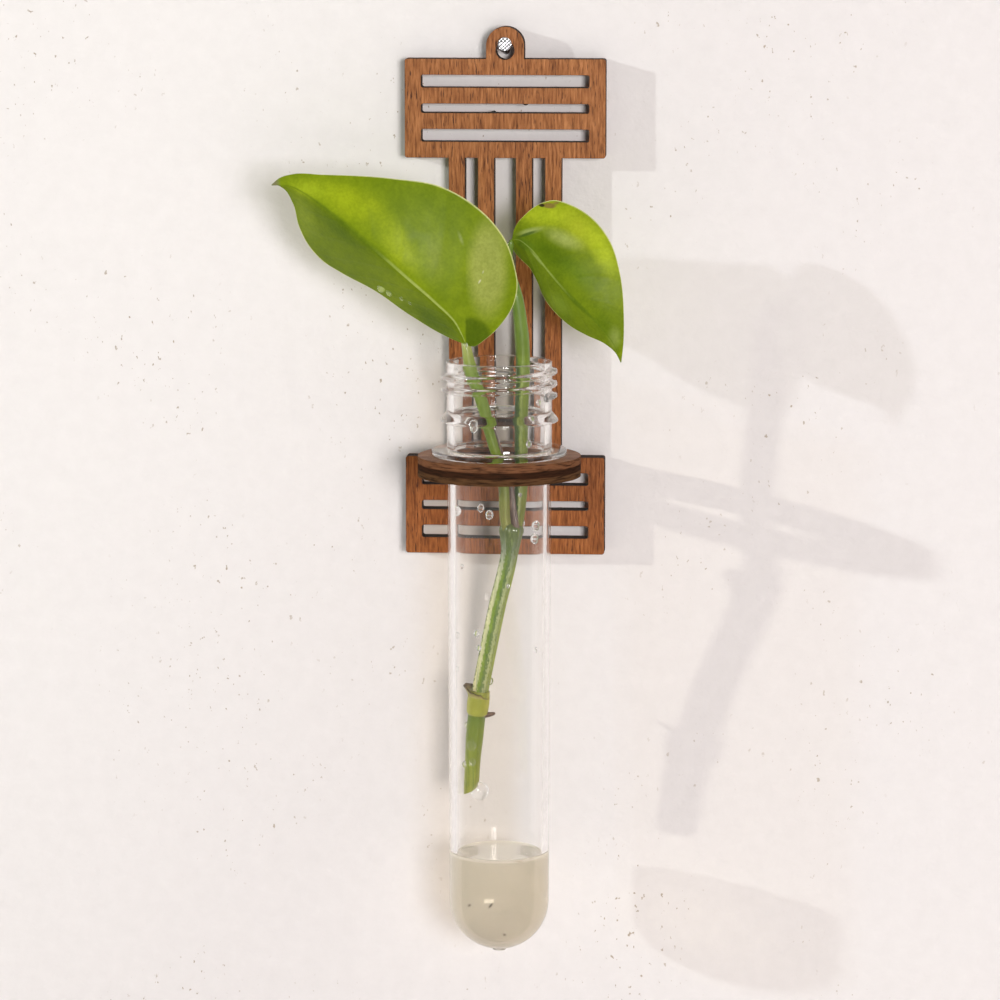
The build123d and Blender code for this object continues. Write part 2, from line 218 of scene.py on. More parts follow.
def times(tree, first, second):
    """The product of two values."""
    return maths(tree, "MULTIPLY", first, second)


def rescale(tree, value, low, high, to_low=0.0, to_high=1.0):
    """A value between low and high carried smoothly to a new range."""
    inputs = {"Value": value, "From Min": low, "From Max": high, "To Min": to_low, "To Max": to_high}
    return node(tree, "MapRange", inputs, interpolation_type="SMOOTHSTEP").outputs["Result"]


def relief(tree, shader, height, depth_mm, strength=1.0):
    """Bump of a given depth on a shader's normal."""
    bump = node(tree, "Bump", {"Height": height, "Distance": depth_mm * MM, "Strength": strength})
    feed(tree, shader, {"Normal": bump.outputs["Normal"]})


def zinc():
    """Bright plated wire, clouded by handling."""
    material, tree, shader = new_finish("zinc_plate")
    cloud = noise(tree, object_place(tree), 900.0, 4.0)
    feed(tree, shader, {
        "Base Color": ramp(tree, cloud, [(0.3, (0.36, 0.36, 0.37)), (0.7, (0.66, 0.66, 0.68))]),
        "Roughness": rescale(tree, cloud, 0.2, 0.8, 0.22, 0.42),
        "Metallic": 1.0,
    })
    return material


def nail_waffle(rings=26, spokes=96):
    """Disc in the plane of the head, raised by the lower of two crossed triangle waves.

    A point at (x, y) stands WAFFLE_HEIGHT * min(tri(x + y), tri(x - y)) above the head, where tri
    is a triangle wave of WAFFLE_PITCH, and the last ring drops below the head's face.
    """
    axis = -np.array(frame["record"]["mounts"][0]["axis"])
    side = np.array([1.0, 0.0, 0.0])
    up = np.cross(axis, side)
    low = np.array(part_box("wall_nail")[0]) / MM
    reach = (-low[1] - abs(up[1]) * NAIL_HEAD_RADIUS) / abs(axis[1])
    radius = np.concatenate([np.linspace(0.02, 0.95, rings - 1), [0.96]]) * NAIL_HEAD_RADIUS
    angle = full_turn(spokes)
    x = radius[:, None] * np.cos(angle)
    y = radius[:, None] * np.sin(angle)
    waves = [np.abs(((x + sign * y) / WAFFLE_PITCH / np.sqrt(2) + 0.5) % 1 - 0.5) * 2 for sign in (1, -1)]
    height = WAFFLE_HEIGHT * np.minimum(*waves) + WAFFLE_LIFT
    height[-1] = -WAFFLE_SKIRT
    grid = x[..., None] * side + y[..., None] * up + (reach + height)[..., None] * axis
    return make_mesh("nail_waffle", [grid], sharp=20)


nail_finish = zinc()
frame["nodes"]["wall_nail"].material_slots[0].material = nail_finish
add_piece("nail_waffle", nail_waffle(), nail_finish, "nail", "zinc")


# Back plate: cut by laser from one sheet of three-ply wood, stained red-brown. The face grain
# runs up and down, and the laser has charred the cut edges. It hangs on the nail by its tab.
FACE_LIGHT = (0.5, 0.21, 0.076)
FACE_MIDDLE = (0.33, 0.125, 0.041)
FACE_DARK = (0.15, 0.048, 0.015)
PORE = (0.075, 0.026, 0.012)
CHAR = (0.014, 0.008, 0.005)
CHARRED_PLY = (0.05, 0.023, 0.012)
STAIN_SPAN = 0.12          # metres below the nail over which the stain changes
ARRIS_WIDTH = 0.22


def axis_of(tree, vector, axis):
    """One of a vector's three parts."""
    return node(tree, "SeparateXYZ", {0: vector}).outputs[axis]


def long_noise(tree, along, across_scale, along_scale, detail, roughness=0.55):
    """Noise drawn out along one axis."""
    stretch = [across_scale] * 3
    stretch[along] = along_scale
    return noise(tree, object_place(tree, stretch), 1.0, detail, roughness)


def plywood(name, along, through, low, high, stain_and_shade,
            edge_tones=(CHARRED_PLY, CHARRED_PLY), core_tone=CHAR, gloss=0.2):
    """Stained veneer on the faces, and three charred plies on the cut edges.

    along and through are the numbers of the grain's axis and the sheet's thickness axis, and low
    and high are the sheet's two faces on that axis, in metres. stain_and_shade gives the face's
    factors as (share of STAIN_SPAN below the nail, factors) stops: the stain's depth on the plate,
    and painted shade on the ring's faces. edge_tones are the low and the high outer ply.
    """
    material, tree, shader = new_finish(name)
    fibres = long_noise(tree, along, 1900.0, 200.0, 5.0, 0.65)
    pores = long_noise(tree, along, 3600.0, 330.0, 2.0, 0.5)
    figure = long_noise(tree, along, 160.0, 26.0, 3.0, 0.5)
    open_pores = rescale(tree, pores, 0.60, 0.70)
    face = ramp(tree, fibres, [(0.31, FACE_DARK), (0.5, FACE_MIDDLE), (0.69, FACE_LIGHT)])
    face = mix(tree, open_pores, face, PORE)
    face = tint(tree, face, figure, [(0.3, (0.84, 0.8, 0.78)), (0.7, (1.12, 1.14, 1.16))])
    face = tint(tree, face, axis_of(tree, object_place(tree, (1, 1, -1 / STAIN_SPAN)), 2), stain_and_shade)
    depth = axis_of(tree, node(tree, "TexCoord").outputs["Object"], through)
    layer = node(tree, "MapRange", {"Value": depth, "From Min": low, "From Max": high}).outputs["Result"]
    low_ply, high_ply = edge_tones
    plies = ramp(tree, layer, [
        (0.0, low_ply), (0.31, low_ply), (0.36, core_tone), (0.62, core_tone), (0.68, high_ply),
    ])
    grain_end = long_noise(tree, through, 260.0, 2600.0, 4.0)
    edge = mix(tree, rescale(tree, grain_end, 0.4, 0.75), plies, CHAR)
    looks = axis_of(tree, node(tree, "TexCoord").outputs["Normal"], through)
    on_edge = maths(tree, "LESS_THAN", maths(tree, "ABSOLUTE", looks), 0.7)
    worn = node(tree, "Bevel", {"Radius": ARRIS_WIDTH * MM}, samples=6).outputs["Normal"]
    plain = node(tree, "NewGeometry").outputs["Normal"]
    turned = node(tree, "VectorMath", {0: worn, 1: plain}, operation="DOT_PRODUCT").outputs["Value"]
    arris = rescale(tree, turned, 0.995, 0.93)
    face = mix(tree, times(tree, arris, 0.75), face, CHAR)
    feed(tree, shader, {
        "Base Color": mix(tree, on_edge, face, edge),
        "Roughness": maths(tree, "MAXIMUM", rescale(tree, fibres, 0.3, 0.7, 0.66, 0.5), on_edge),
        "Specular IOR Level": gloss,
    })
    relief(tree, shader, maths(tree, "SUBTRACT", fibres, open_pores), 0.05, 0.5)
    return material


plate_low, plate_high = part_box("back_plate")
frame["nodes"]["back_plate"].material_slots[0].material = plywood(
    "plate_plywood", 2, 1, plate_low[1], plate_high[1],
    [(0.15, (1, 0.98, 0.96)), (0.5, (0.86, 0.75, 0.6)), (0.9, (0.79, 0.64, 0.46))])


# Leftover ties: two specks of charred wood that the laser left standing in the middle slot of
# the upper block, one hanging from the rail above and one on the rail below.
RAIL = 3.85
OUTER_SLOT = 3.0
MIDDLE_SLOT = 2.2
PLATE_TOP_DROP = 7.65      # top of the tab to the plate's top edge
TIE_PLACES = [(4.9, 1), (-3.0, -1)]     # across from the middle, and on which rail
TIE_HALF_WIDTH = 0.6
TIE_HEIGHT = 0.32
TIE_INSET = 0.1            # in from the sheet's two faces


def grained(name, stops, roughness, grain=1.0, detail=3.0, stretch=(1, 1, 1), depth_mm=None):
    """Plain finish: a noise of this grain, coloured by stops, and pressed in where it has a depth."""
    material, tree, shader = new_finish(name)
    cloud = noise(tree, object_place(tree, stretch), grain, detail)
    feed(tree, shader, {"Base Color": ramp(tree, cloud, stops), "Roughness": roughness})
    if depth_mm:
        relief(tree, shader, cloud, depth_mm, 0.6)
    return material


def slot_ties(rows=14, cols=20):
    """Specks carried through the sheet: an ellipse on an edge of the slot, widest in the sheet's middle."""
    slot_top = plate_high[2] / MM - PLATE_TOP_DROP - 2 * RAIL - OUTER_SLOT
    depth = np.linspace(plate_low[1] / MM + TIE_INSET, plate_high[1] / MM - TIE_INSET, rows)
    angle = full_turn(cols)
    swell = 1 - 0.25 * ((depth - depth.mean()) / np.ptp(depth)) ** 2
    grids = []
    for across, rail in TIE_PLACES:
        edge = slot_top if rail > 0 else slot_top - MIDDLE_SLOT
        x = across + TIE_HALF_WIDTH * np.cos(angle)
        z = edge - rail * TIE_HEIGHT * np.sin(angle)
        x = across + (x - across) * swell[:, None]
        grids.append(np.stack(np.broadcast_arrays(x, depth[:, None], z), -1))
    return make_mesh("slot_ties", grids)


burnt_tie = grained("burnt_tie", [(0.3, (0.012, 0.008, 0.006)), (0.7, CHAR)], 0.8, 2500.0)
add_piece("slot_ties", slot_ties(), burnt_tie, "holder", "plywood")


# Tube ring: cut from the same three-ply sheet. It lies level, its tenons stand in the plate's
# slots, and its cut edge shows the two face plies with the darker core between them.
ring_low, ring_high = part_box("tube_ring")
# The ring's faces are tinted down to a dark brown. This is painted shade on the top face, where little light
# falls.
frame["nodes"]["tube_ring"].material_slots[0].material = plywood(
    "ring_plywood", 0, 2, ring_low[2], ring_high[2], [(0.0, (0.14, 0.22, 0.41))],
    ((0.105, 0.05, 0.022), (0.19, 0.08, 0.038)), (0.04, 0.016, 0.008), 0.03)


# Tube: a clear moulded blank with a threaded bottle neck, a bead, a support flange and a long
# tapering body with a round bottom. It hangs in the ring by its flange.
tube_low, tube_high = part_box("tube")
MOUTH = np.array([(tube_low[0] + tube_high[0]) / 2, (tube_low[1] + tube_high[1]) / 2, tube_high[2]]) / MM
TUBE_LENGTH = (tube_high[2] - tube_low[2]) / MM
FLANGE_RADIUS = (tube_high[0] - tube_low[0]) / 2 / MM
TUBE_WALL = 1.75
NECK_RADIUS = 12.45
NECK_BORE = 10.85
NECK_HEIGHT = 22.4
FLANGE_THICKNESS = 1.5
BEAD_RADIUS = 13.9
BEAD_DROP = 14.3
BEAD_LAND = 0.6
BEAD_SLOPE = 1.8
BODY_TOP_RADIUS = 12.4
BODY_LOW_RADIUS = 11.9
THREAD_HEIGHT = 1.25
THREAD_PITCH = 2.9
THREAD_TURNS = 2.3
THREAD_DROP = 8.5
THREAD_START = -30.0
THREAD_ROOT = 1.8
THREAD_CREST = 0.55
THREAD_FADE = 0.1          # share of a turn over which each end fades
GATE_RADIUS = 1.65
GATE_HEIGHT = 0.55
LIP_RUN = 0.4              # straight start of the neck under the lip
LIP_BORE_RUN = 0.6         # and of the bore
BODY_LOW_DROP = TUBE_LENGTH - BODY_LOW_RADIUS
LOW_BORE = BODY_LOW_RADIUS - TUBE_WALL
UP = np.array([0, 0, 1.0])
BACK = np.array([0, 1.0, 0])


def rounded(corners, radius, steps=5):
    """A line of (radius, height) corners with each inner corner replaced by a short curve.

    Each curve is the parabola from a point radius before the corner to a point radius after it,
    shortened to fit the two runs.
    """
    corners = np.asarray(corners, float)
    before, here, after = corners[:-2], corners[1:-1], corners[2:]
    back, ahead = before - here, after - here
    back_length = np.linalg.norm(back, axis=1, keepdims=True)
    ahead_length = np.linalg.norm(ahead, axis=1, keepdims=True)
    first = here + back * np.minimum(radius / back_length, 0.45)
    last = here + ahead * np.minimum(radius / ahead_length, 0.45)
    t = np.linspace(0, 1, steps)[None, :, None]
    curves = (1 - t) ** 2 * first[:, None] + 2 * t * (1 - t) * here[:, None] + t ** 2 * last[:, None]
    return np.vstack([corners[:1], curves.reshape(-1, 2), corners[-1:]])


def filled(line, step):
    """The same line with points added so that no run is longer than step."""
    runs = np.diff(line, axis=0)
    counts = np.maximum(np.ceil(np.linalg.norm(runs, axis=1) / step).astype(int), 1)
    shares = [np.linspace(0, 1, count, endpoint=False)[:, None] for count in counts]
    parts = [start + share * run for start, share, run in zip(line[:-1], shares, runs)]
    return np.vstack(parts + [line[-1:]])


def quarter_round(radius, centre_drop, start, end, count=26):
    """Arc of the round bottom about a centre on the axis, from angle start to end below the level."""
    angle = np.radians(np.linspace(start, end, count))
    return np.stack([radius * np.cos(angle), -centre_drop - radius * np.sin(angle)], 1)


def outward(angle):
    """Level unit vector at an angle round the upright axis, from the right over the back."""
    return np.stack([np.cos(angle), np.sin(angle), np.zeros_like(angle)], -1)


def turned(profile, cols):
    """Carries a (radius, height) profile round the tube's axis."""
    return MOUTH + profile[:, :1, None] * outward(full_turn(cols)) + profile[:, 1:, None] * UP


def thread_rise(height, cols):
    """How far the thread stands out at each height and angle.

    u = (height + drop) / pitch - angle / turn is a whole number on the thread's middle line, so the
    distance to the nearest turn is pitch * (u - round(u)). The trapezoid over that distance fades
    in and out over THREAD_FADE of a turn at the two ends.
    """
    angle = np.linspace(0, 1, cols, endpoint=False) - THREAD_START / 360
    u = (height[:, None] + THREAD_DROP) / THREAD_PITCH - angle
    turn = np.round(u)
    away = np.abs(u - turn) * THREAD_PITCH
    flank = np.clip((THREAD_ROOT / 2 - away) / ((THREAD_ROOT - THREAD_CREST) / 2), 0, 1)
    along = turn + angle
    fade = np.clip(along / THREAD_FADE, 0, 1) * np.clip((THREAD_TURNS - along) / THREAD_FADE, 0, 1)
    smooth = flank * flank * (3 - 2 * flank)
    return THREAD_HEIGHT * smooth * fade * fade * (3 - 2 * fade)


def tube_mesh(cols=176):
    """Outside from lip to gate, then the bore from its floor back to the lip, as one closed wall."""
    bead_low = BEAD_DROP - BEAD_LAND
    bead_foot = -(bead_low - BEAD_SLOPE)
    flange_top = NECK_HEIGHT - FLANGE_THICKNESS
    neck = filled(np.array([(NECK_RADIUS, -LIP_RUN), (NECK_RADIUS, bead_foot + 0.3)]), 0.13)
    below = rounded([
        (NECK_RADIUS, bead_foot + 0.2),
        (NECK_RADIUS, bead_foot),
        (BEAD_RADIUS, -bead_low),
        (BEAD_RADIUS, -BEAD_DROP),
        (NECK_RADIUS, -BEAD_DROP),
        (NECK_RADIUS, -flange_top),
        (FLANGE_RADIUS, -flange_top),
        (FLANGE_RADIUS, -NECK_HEIGHT),
        (BODY_TOP_RADIUS, -NECK_HEIGHT),
        (BODY_TOP_RADIUS - 0.02, -NECK_HEIGHT - 2.0),
        (BODY_LOW_RADIUS, -BODY_LOW_DROP),
    ], 0.42)
    gate_angle = np.degrees(np.arccos(GATE_RADIUS / BODY_LOW_RADIUS))
    bottom = quarter_round(BODY_LOW_RADIUS, BODY_LOW_DROP, 3, gate_angle)
    gate = rounded([bottom[-1], (GATE_RADIUS, bottom[-1, 1] - GATE_HEIGHT),
                    (0.05, bottom[-1, 1] - GATE_HEIGHT)], 0.25)[1:]
    lip = rounded([(NECK_BORE, -LIP_BORE_RUN), (NECK_BORE, 0),
                   (NECK_RADIUS, 0), (NECK_RADIUS, -LIP_RUN)], 0.35)
    outside = np.vstack([lip[len(lip) // 2:-1], neck, filled(below, 3.0), bottom, gate])
    floor = quarter_round(LOW_BORE, BODY_LOW_DROP, 89.7, 2)
    bore = rounded([(LOW_BORE, -BODY_LOW_DROP), (BODY_TOP_RADIUS - TUBE_WALL, -NECK_HEIGHT),
                    (NECK_BORE, -flange_top), (NECK_BORE, -LIP_BORE_RUN)], 1.2)
    inside = np.vstack([floor, filled(bore, 3.0), lip[1:len(lip) // 2]])
    on_neck = np.abs(outside[:, :1] - NECK_RADIUS) < 0.01
    thread = (thread_rise(outside[:, 1], cols) * on_neck)[..., None] * outward(full_turn(cols))
    shell = np.concatenate([turned(inside, cols), turned(outside, cols) + thread])
    return make_mesh("tube_wall", [shell], sharp=50)


def surface(tree, shader, *cases, output="Material Output"):
    """Joins a shader to the output: each (share, other) case lays another shader over those before it."""
    top = shader.outputs[0]
    for share, other in cases:
        top = node(tree, "MixShader", {0: share, 1: top, 2: other.outputs[0]}).outputs[0]
    feed(tree, tree.nodes[output], {"Surface": top})


def see_through(tree, shader, colour):
    """Lets the lamps' light, and the light that other surfaces give back, straight through a clear piece."""
    open_way = node(tree, "BsdfTransparent", {"Color": colour})
    rays = node(tree, "LightPath").outputs
    surface(tree, shader, (rays["Is Diffuse Ray"], open_way), (rays["Is Shadow Ray"], open_way))


def clear_plastic():
    """Clear moulded plastic that lets the lamps through to what it holds."""
    material, tree, shader = new_finish("clear_plastic")
    streaks = noise(tree, object_place(tree, (260.0, 260.0, 40.0)), 1.0, 2.0)
    feed(tree, shader, {
        "Base Color": (0.995, 0.995, 0.99, 1),
        "Transmission Weight": 1.0,
        "IOR": 1.5,
        "Roughness": rescale(tree, streaks, 0.3, 0.8, 0.008, 0.04),
    })
    relief(tree, shader, streaks, 0.006, 0.35)
    see_through(tree, shader, (0.975, 0.955, 0.925, 1))
    return material


add_piece("tube_wall", tube_mesh(), clear_plastic(), "tube", "clear_plastic", "tube")


# Water: a little cloudy water that stands in the round bottom. It wets the wall, so its surface
# climbs at the edge, and it holds a few dark crumbs from the cutting.
WATER_DEPTH = 21.8
WATER_IN_WALL = 0.12       # overlap with the wall, so that no film of air lies between
MENISCUS_RISE = 0.5
MENISCUS_REACH = 1.1
WATER_DROP = TUBE_LENGTH - TUBE_WALL - WATER_DEPTH
WATER_TONE_SPAN = 0.024    # metres up from the tube's bottom that the water's tones cover


def bore_at(drop):
    """Radius of the bore at a depth below the mouth, between the neck's foot and the round bottom."""
    share = (drop - NECK_HEIGHT) / (BODY_LOW_DROP - NECK_HEIGHT)
    return BODY_TOP_RADIUS - TUBE_WALL + (BODY_LOW_RADIUS - BODY_TOP_RADIUS) * share


def water_mesh():
    """Round bottom, straight side, and a surface that rises as exp(-2 * distance / reach) at the wall."""
    bottom = quarter_round(LOW_BORE + WATER_IN_WALL, BODY_LOW_DROP, 89.7, 1, 30)
    edge_drop = WATER_DROP - MENISCUS_RISE
    side_drop = np.linspace(BODY_LOW_DROP, edge_drop, 14)
    side = np.stack([bore_at(side_drop) + WATER_IN_WALL, -side_drop], 1)
    edge = bore_at(edge_drop) + WATER_IN_WALL
    away = edge * (1 - np.linspace(1, 0.01, 40)) ** 1.6
    surface = np.stack([edge - away, -WATER_DROP + MENISCUS_RISE * np.exp(-away / MENISCUS_REACH * 2)], 1)
    return make_mesh("water_body", [turned(np.vstack([bottom, side, surface[1:]]), 144)], sharp=60)


def pass_light(tree, shader, colour):
    """Lets the lamps' light through a surface in this colour, so that its shadow is not black."""
    open_way = node(tree, "BsdfTransparent", {"Color": colour})
    rays = node(tree, "LightPath").outputs
    surface(tree, shader, (rays["Is Shadow Ray"], open_way))


def cloudy_water():
    """Pale khaki water, half clear and half clouded, a little darker towards the bottom, and painted near
    white at its surface as a painted reflection.
    """
    material, tree, shader = new_finish("cloudy_water")
    bottom = (MOUTH[2] - TUBE_LENGTH) * MM
    height = axis_of(tree, node(tree, "TexCoord").outputs["Object"], 2)
    span = {"Value": height, "From Min": bottom, "From Max": bottom + WATER_TONE_SPAN}
    depth = node(tree, "MapRange", span).outputs["Result"]
    drift = noise(tree, object_place(tree), 120.0, 3.0)
    # The top stop paints the water's surface near white: a painted reflection.
    tone = ramp(tree, depth, [(0.0, (0.67, 0.625, 0.545)), (0.5, (0.715, 0.675, 0.585)),
                              (0.955, (0.76, 0.725, 0.635)), (0.972, (1.0, 0.97, 0.92))])
    tone = tint(tree, tone, drift, [(0.3, (0.94, 0.94, 0.93)), (0.7, (1.04, 1.04, 1.04))])
    feed(tree, shader, {"Base Color": tone, "Transmission Weight": 0.8, "IOR": 1.333, "Roughness": 0.03})
    pass_light(tree, shader, (0.55, 0.515, 0.455, 1))
    return material


add_piece("water_body", water_mesh(), cloudy_water(), "tube", "water", "water")

CRUMBS = [      # angle round the bore, height above its floor, half length, radius, tilt from the level
    (262, 10.9, 0.75, 0.26, 58), (228, 10.3, 0.5, 0.3, 20),
    (283, 3.9, 0.4, 0.28, -25), (150, 9.0, 0.4, 0.2, -40),
]


def crumb_meshes(rows=12, cols=12):
    """Spindles just inside the bore: radius(s) = r * sqrt(1 - s * s) along a short straight line."""
    grids = []
    s = np.linspace(-0.98, 0.98, rows)
    turn = full_turn(cols)
    for angle, height, half, radius, tilt in CRUMBS:
        out = outward(np.radians(angle))
        aim = np.cos(np.radians(tilt)) * np.cross(UP, out) + np.sin(np.radians(tilt)) * UP
        side = np.cross(aim, out)
        fall = max(LOW_BORE - height, 0.0)
        reach = np.sqrt(LOW_BORE ** 2 - fall ** 2) - 4 * radius
        middle = MOUTH + reach * out + [0, 0, height - TUBE_LENGTH + TUBE_WALL]
        girth = (radius * np.sqrt(1 - s * s))[:, None, None]
        ring = np.cos(turn)[:, None] * out + np.sin(turn)[:, None] * side
        grids.append(middle + (half * s)[:, None, None] * aim + girth * ring)
    return make_mesh("water_crumbs", grids)


plant_litter = grained("plant_litter", [(0.3, (0.02, 0.015, 0.01)), (0.7, (0.12, 0.075, 0.04))], 0.7, 2600.0)
add_piece("water_crumbs", crumb_meshes(), plant_litter, "tube", "dry_sheath")


# Cutting, stem: the living shoot that roots in the water, cut on a slant at its foot. Each
# length between two nodes is a faintly ribbed green rod; the lower one swells under its node.
STEM_RADIUS = 2.0
FOOT = np.array([-7.01, 3.42, -104.0])          # right, back and up from the tube's mouth
LOWER_HEIGHT = 24.5
LOWER_NODE = FOOT + [2.0, -1.1, LOWER_HEIGHT]
UPPER_NODE = np.array([2.9, -0.4, -38.4])
STEM_BEND = np.array([0.9, -0.2, 0.0])
STEM_MIDDLE = (LOWER_NODE + UPPER_NODE) / 2 + STEM_BEND
SWELL_RADIUS = 2.75
SWELL_DROP = 3.0
SWELL_END = 5.6
CUT_RISE = 1.6
FOOT_TIP = np.array([0.4, 0.0, 1.5])        # the tip of the cut, down from the foot
LOWER_LINE = [FOOT - FOOT_TIP, FOOT + [0.6, -0.5, 12.0], LOWER_NODE]


def smooth_line(points, count):
    """Cubic curve through points, with slopes taken from their neighbours, at even steps of length."""
    points = np.asarray(points, float)
    reach = np.concatenate([[0], np.cumsum(np.linalg.norm(np.diff(points, axis=0), axis=1))])
    slope = np.gradient(points, reach, axis=0)
    at = np.linspace(0, reach[-1], count)
    run = np.clip(np.searchsorted(reach, at, side="right") - 1, 0, len(reach) - 2)
    width = (reach[run + 1] - reach[run])[:, None]
    t = (at - reach[run])[:, None] / width
    start = (2 * t ** 3 - 3 * t ** 2 + 1) * points[run] + (t ** 3 - 2 * t ** 2 + t) * width * slope[run]
    end = (3 * t ** 2 - 2 * t ** 3) * points[run + 1] + (t ** 3 - t ** 2) * width * slope[run + 1]
    return start + end


def unit(vector):
    """A vector, or each row of several, at length 1."""
    return vector / np.linalg.norm(vector, axis=-1, keepdims=True)


def square_to(aim):
    """The level way and the front-to-back way that stand square to an aim."""
    side = unit(np.cross(BACK, aim))
    return side, np.cross(aim, side)


def shoot(line, radius, cols=48, ribs=0.0, rib_count=6, flat=1.0):
    """A ring carried along a line from the mouth: radius(u) * (1 + ribs * cos(rib_count * angle)).

    The ring stands square to the line, with its first axis level, and flat squeezes it from front to back.
    """
    side, front = square_to(unit(np.gradient(line, axis=0)))
    angle = full_turn(cols)
    size = np.asarray(radius)[:, None] * (1 + ribs * np.cos(rib_count * angle))
    across = (size * np.cos(angle))[..., None] * side[:, None]
    deep = (size * np.sin(angle) * flat)[..., None] * front[:, None]
    return MOUTH + line[:, None] + across + deep


def bump_at(u, middle, width):
    """Raised cosine of height 1 at middle that falls to 0 at width on either side."""
    return (1 + np.cos(np.pi * np.clip(np.abs(u - middle) / width, 0, 1))) / 2


def along_around(tree):
    """The two parts of a piece's own map: along its length, and round it."""
    place = node(tree, "UVMap", uv_map="along_around").outputs["UV"]
    return axis_of(tree, place, 0), axis_of(tree, place, 1)


def green_shoot(name, stops, streak_light, streak_dark, coat=0.25, sides=None, fade=(1.1, 1.2)):
    """Plant skin: colours along the shoot, with fine lengthwise streaks and a wet gloss.

    sides are factors round the shoot, from right (0) over the back, the left (0.5) and the front (0.75),
    which end between the two places along it that fade gives. They paint highlight bands where they rise
    above 1 and paint shade where they fall below it.
    """
    material, tree, shader = new_finish(name)
    along, around = along_around(tree)
    base = ramp(tree, along, stops)
    streaks = noise(tree, object_place(tree, (1500.0, 1500.0, 70.0)), 1.0, 4.0, 0.6)
    patches = noise(tree, object_place(tree), 260.0, 3.0)
    base = mix(tree, rescale(tree, streaks, 0.52, 0.72, 0.0, 0.55), base, streak_light)
    base = mix(tree, rescale(tree, streaks, 0.46, 0.3, 0.0, 0.6), base, streak_dark)
    base = tint(tree, base, patches, [(0.3, (0.86, 0.88, 0.86)), (0.7, (1.1, 1.08, 1.1))])
    if sides:
        # Painted highlight bands and painted shade round the shoot.
        ragged = noise(tree, object_place(tree, (2600.0, 2600.0, 1500.0)), 1.0, 3.0, 0.6)
        turn = maths(tree, "ADD", around, rescale(tree, ragged, 0.2, 0.8, -0.035, 0.035))
        band = mix(tree, rescale(tree, along, *fade), ramp(tree, turn, sides), (1.0, 1.0, 1.0))
        base = mix(tree, 1.0, base, band, "MULTIPLY")
    feed(tree, shader, {
        "Base Color": base,
        "Roughness": 0.36,
        "Specular IOR Level": 0.2,
        "Coat Weight": coat,
        "Coat Roughness": 0.12,
    })
    relief(tree, shader, streaks, 0.12, 0.5)
    return material


def stem_lower_mesh(rows=110):
    """Lower length: a raised-cosine swelling near its top, with the foot cut on a slant.

    The slant lifts each point of the lowest rows onto the plane z = foot + rise * (3/4 + x / width).
    """
    line = smooth_line(LOWER_LINE, rows)
    u = np.linspace(0, 1, rows)
    below = (1 - u) * LOWER_HEIGHT
    sleeve = np.clip((SWELL_END - below) / 0.35, 0, 1)
    taper = STEM_RADIUS - 0.15 + 0.5 * u
    radius = taper + (SWELL_RADIUS - taper) * (0.25 + 0.75 * bump_at(below, SWELL_DROP, 5.0)) * sleeve
    radius += 0.05 * np.sin(u * 14) * (1 - sleeve)
    grid = shoot(line, radius, ribs=0.015)
    foot = MOUTH + FOOT - FOOT_TIP
    cut = foot[2] + CUT_RISE * (0.75 + (grid[..., 0] - foot[0]) / (2 * STEM_RADIUS))
    grid[..., 2] = np.maximum(grid[..., 2], cut)
    return make_mesh("stem_lower_shoot", [grid], sharp=50)


def stem_upper_mesh(rows=150):
    """Upper length: a ribbed rod that bows a little and widens into the node of the leaf stalks."""
    line = smooth_line([
        LOWER_NODE - [0.2, 0, 1.6],
        STEM_MIDDLE - [0.5, 0, 0],
        UPPER_NODE - [0.35, 0, 6.0],
        UPPER_NODE - [0, 0, 1.1],
        UPPER_NODE + [0.25, 0, 0.5],
    ], rows)
    u = np.linspace(0, 1, rows)
    radius = STEM_RADIUS + 0.85 * np.clip((u - 0.82) / 0.12, 0, 1) ** 1.5
    radius = radius * np.sqrt(1 - 0.98 * np.clip((u - 0.95) / 0.05, 0, 1) ** 2)
    return make_mesh("stem_upper_shoot", [shoot(line, radius, ribs=0.06, rib_count=7)], sharp=60)


LOWER_STEM_TONES = [
    (0.0, (0.31, 0.31, 0.045)), (0.3, (0.24, 0.275, 0.026)), (0.6, (0.165, 0.215, 0.017)),
    (0.765, (0.12, 0.175, 0.012)), (0.78, (0.38, 0.375, 0.05)), (0.9, (0.36, 0.355, 0.042)),
    (1.0, (0.31, 0.31, 0.05)),
]
# Painted highlights and painted shade round the lower length: bands of factors on its colour.
LOWER_STEM_PAINTED_LIGHT = [
    (0.0, (1.25, 1.2, 1.3)), (0.06, (1, 1, 1)), (0.44, (0.95, 0.95, 0.95)), (0.5, (1.3, 1.25, 1.5)),
    (0.56, (1.25, 1.2, 1.4)), (0.64, (0.95, 0.97, 0.9)), (0.8, (0.95, 1, 0.85)), (0.92, (1.1, 1.08, 1)),
    (1.0, (1.25, 1.2, 1.3)),
]
UPPER_STEM_TONES = [
    (0.0, (0.21, 0.25, 0.045)), (0.3, (0.2, 0.26, 0.045)), (0.7, (0.18, 0.24, 0.045)),
    (0.86, (0.11, 0.15, 0.045)), (1.0, (0.1, 0.13, 0.045)),
]
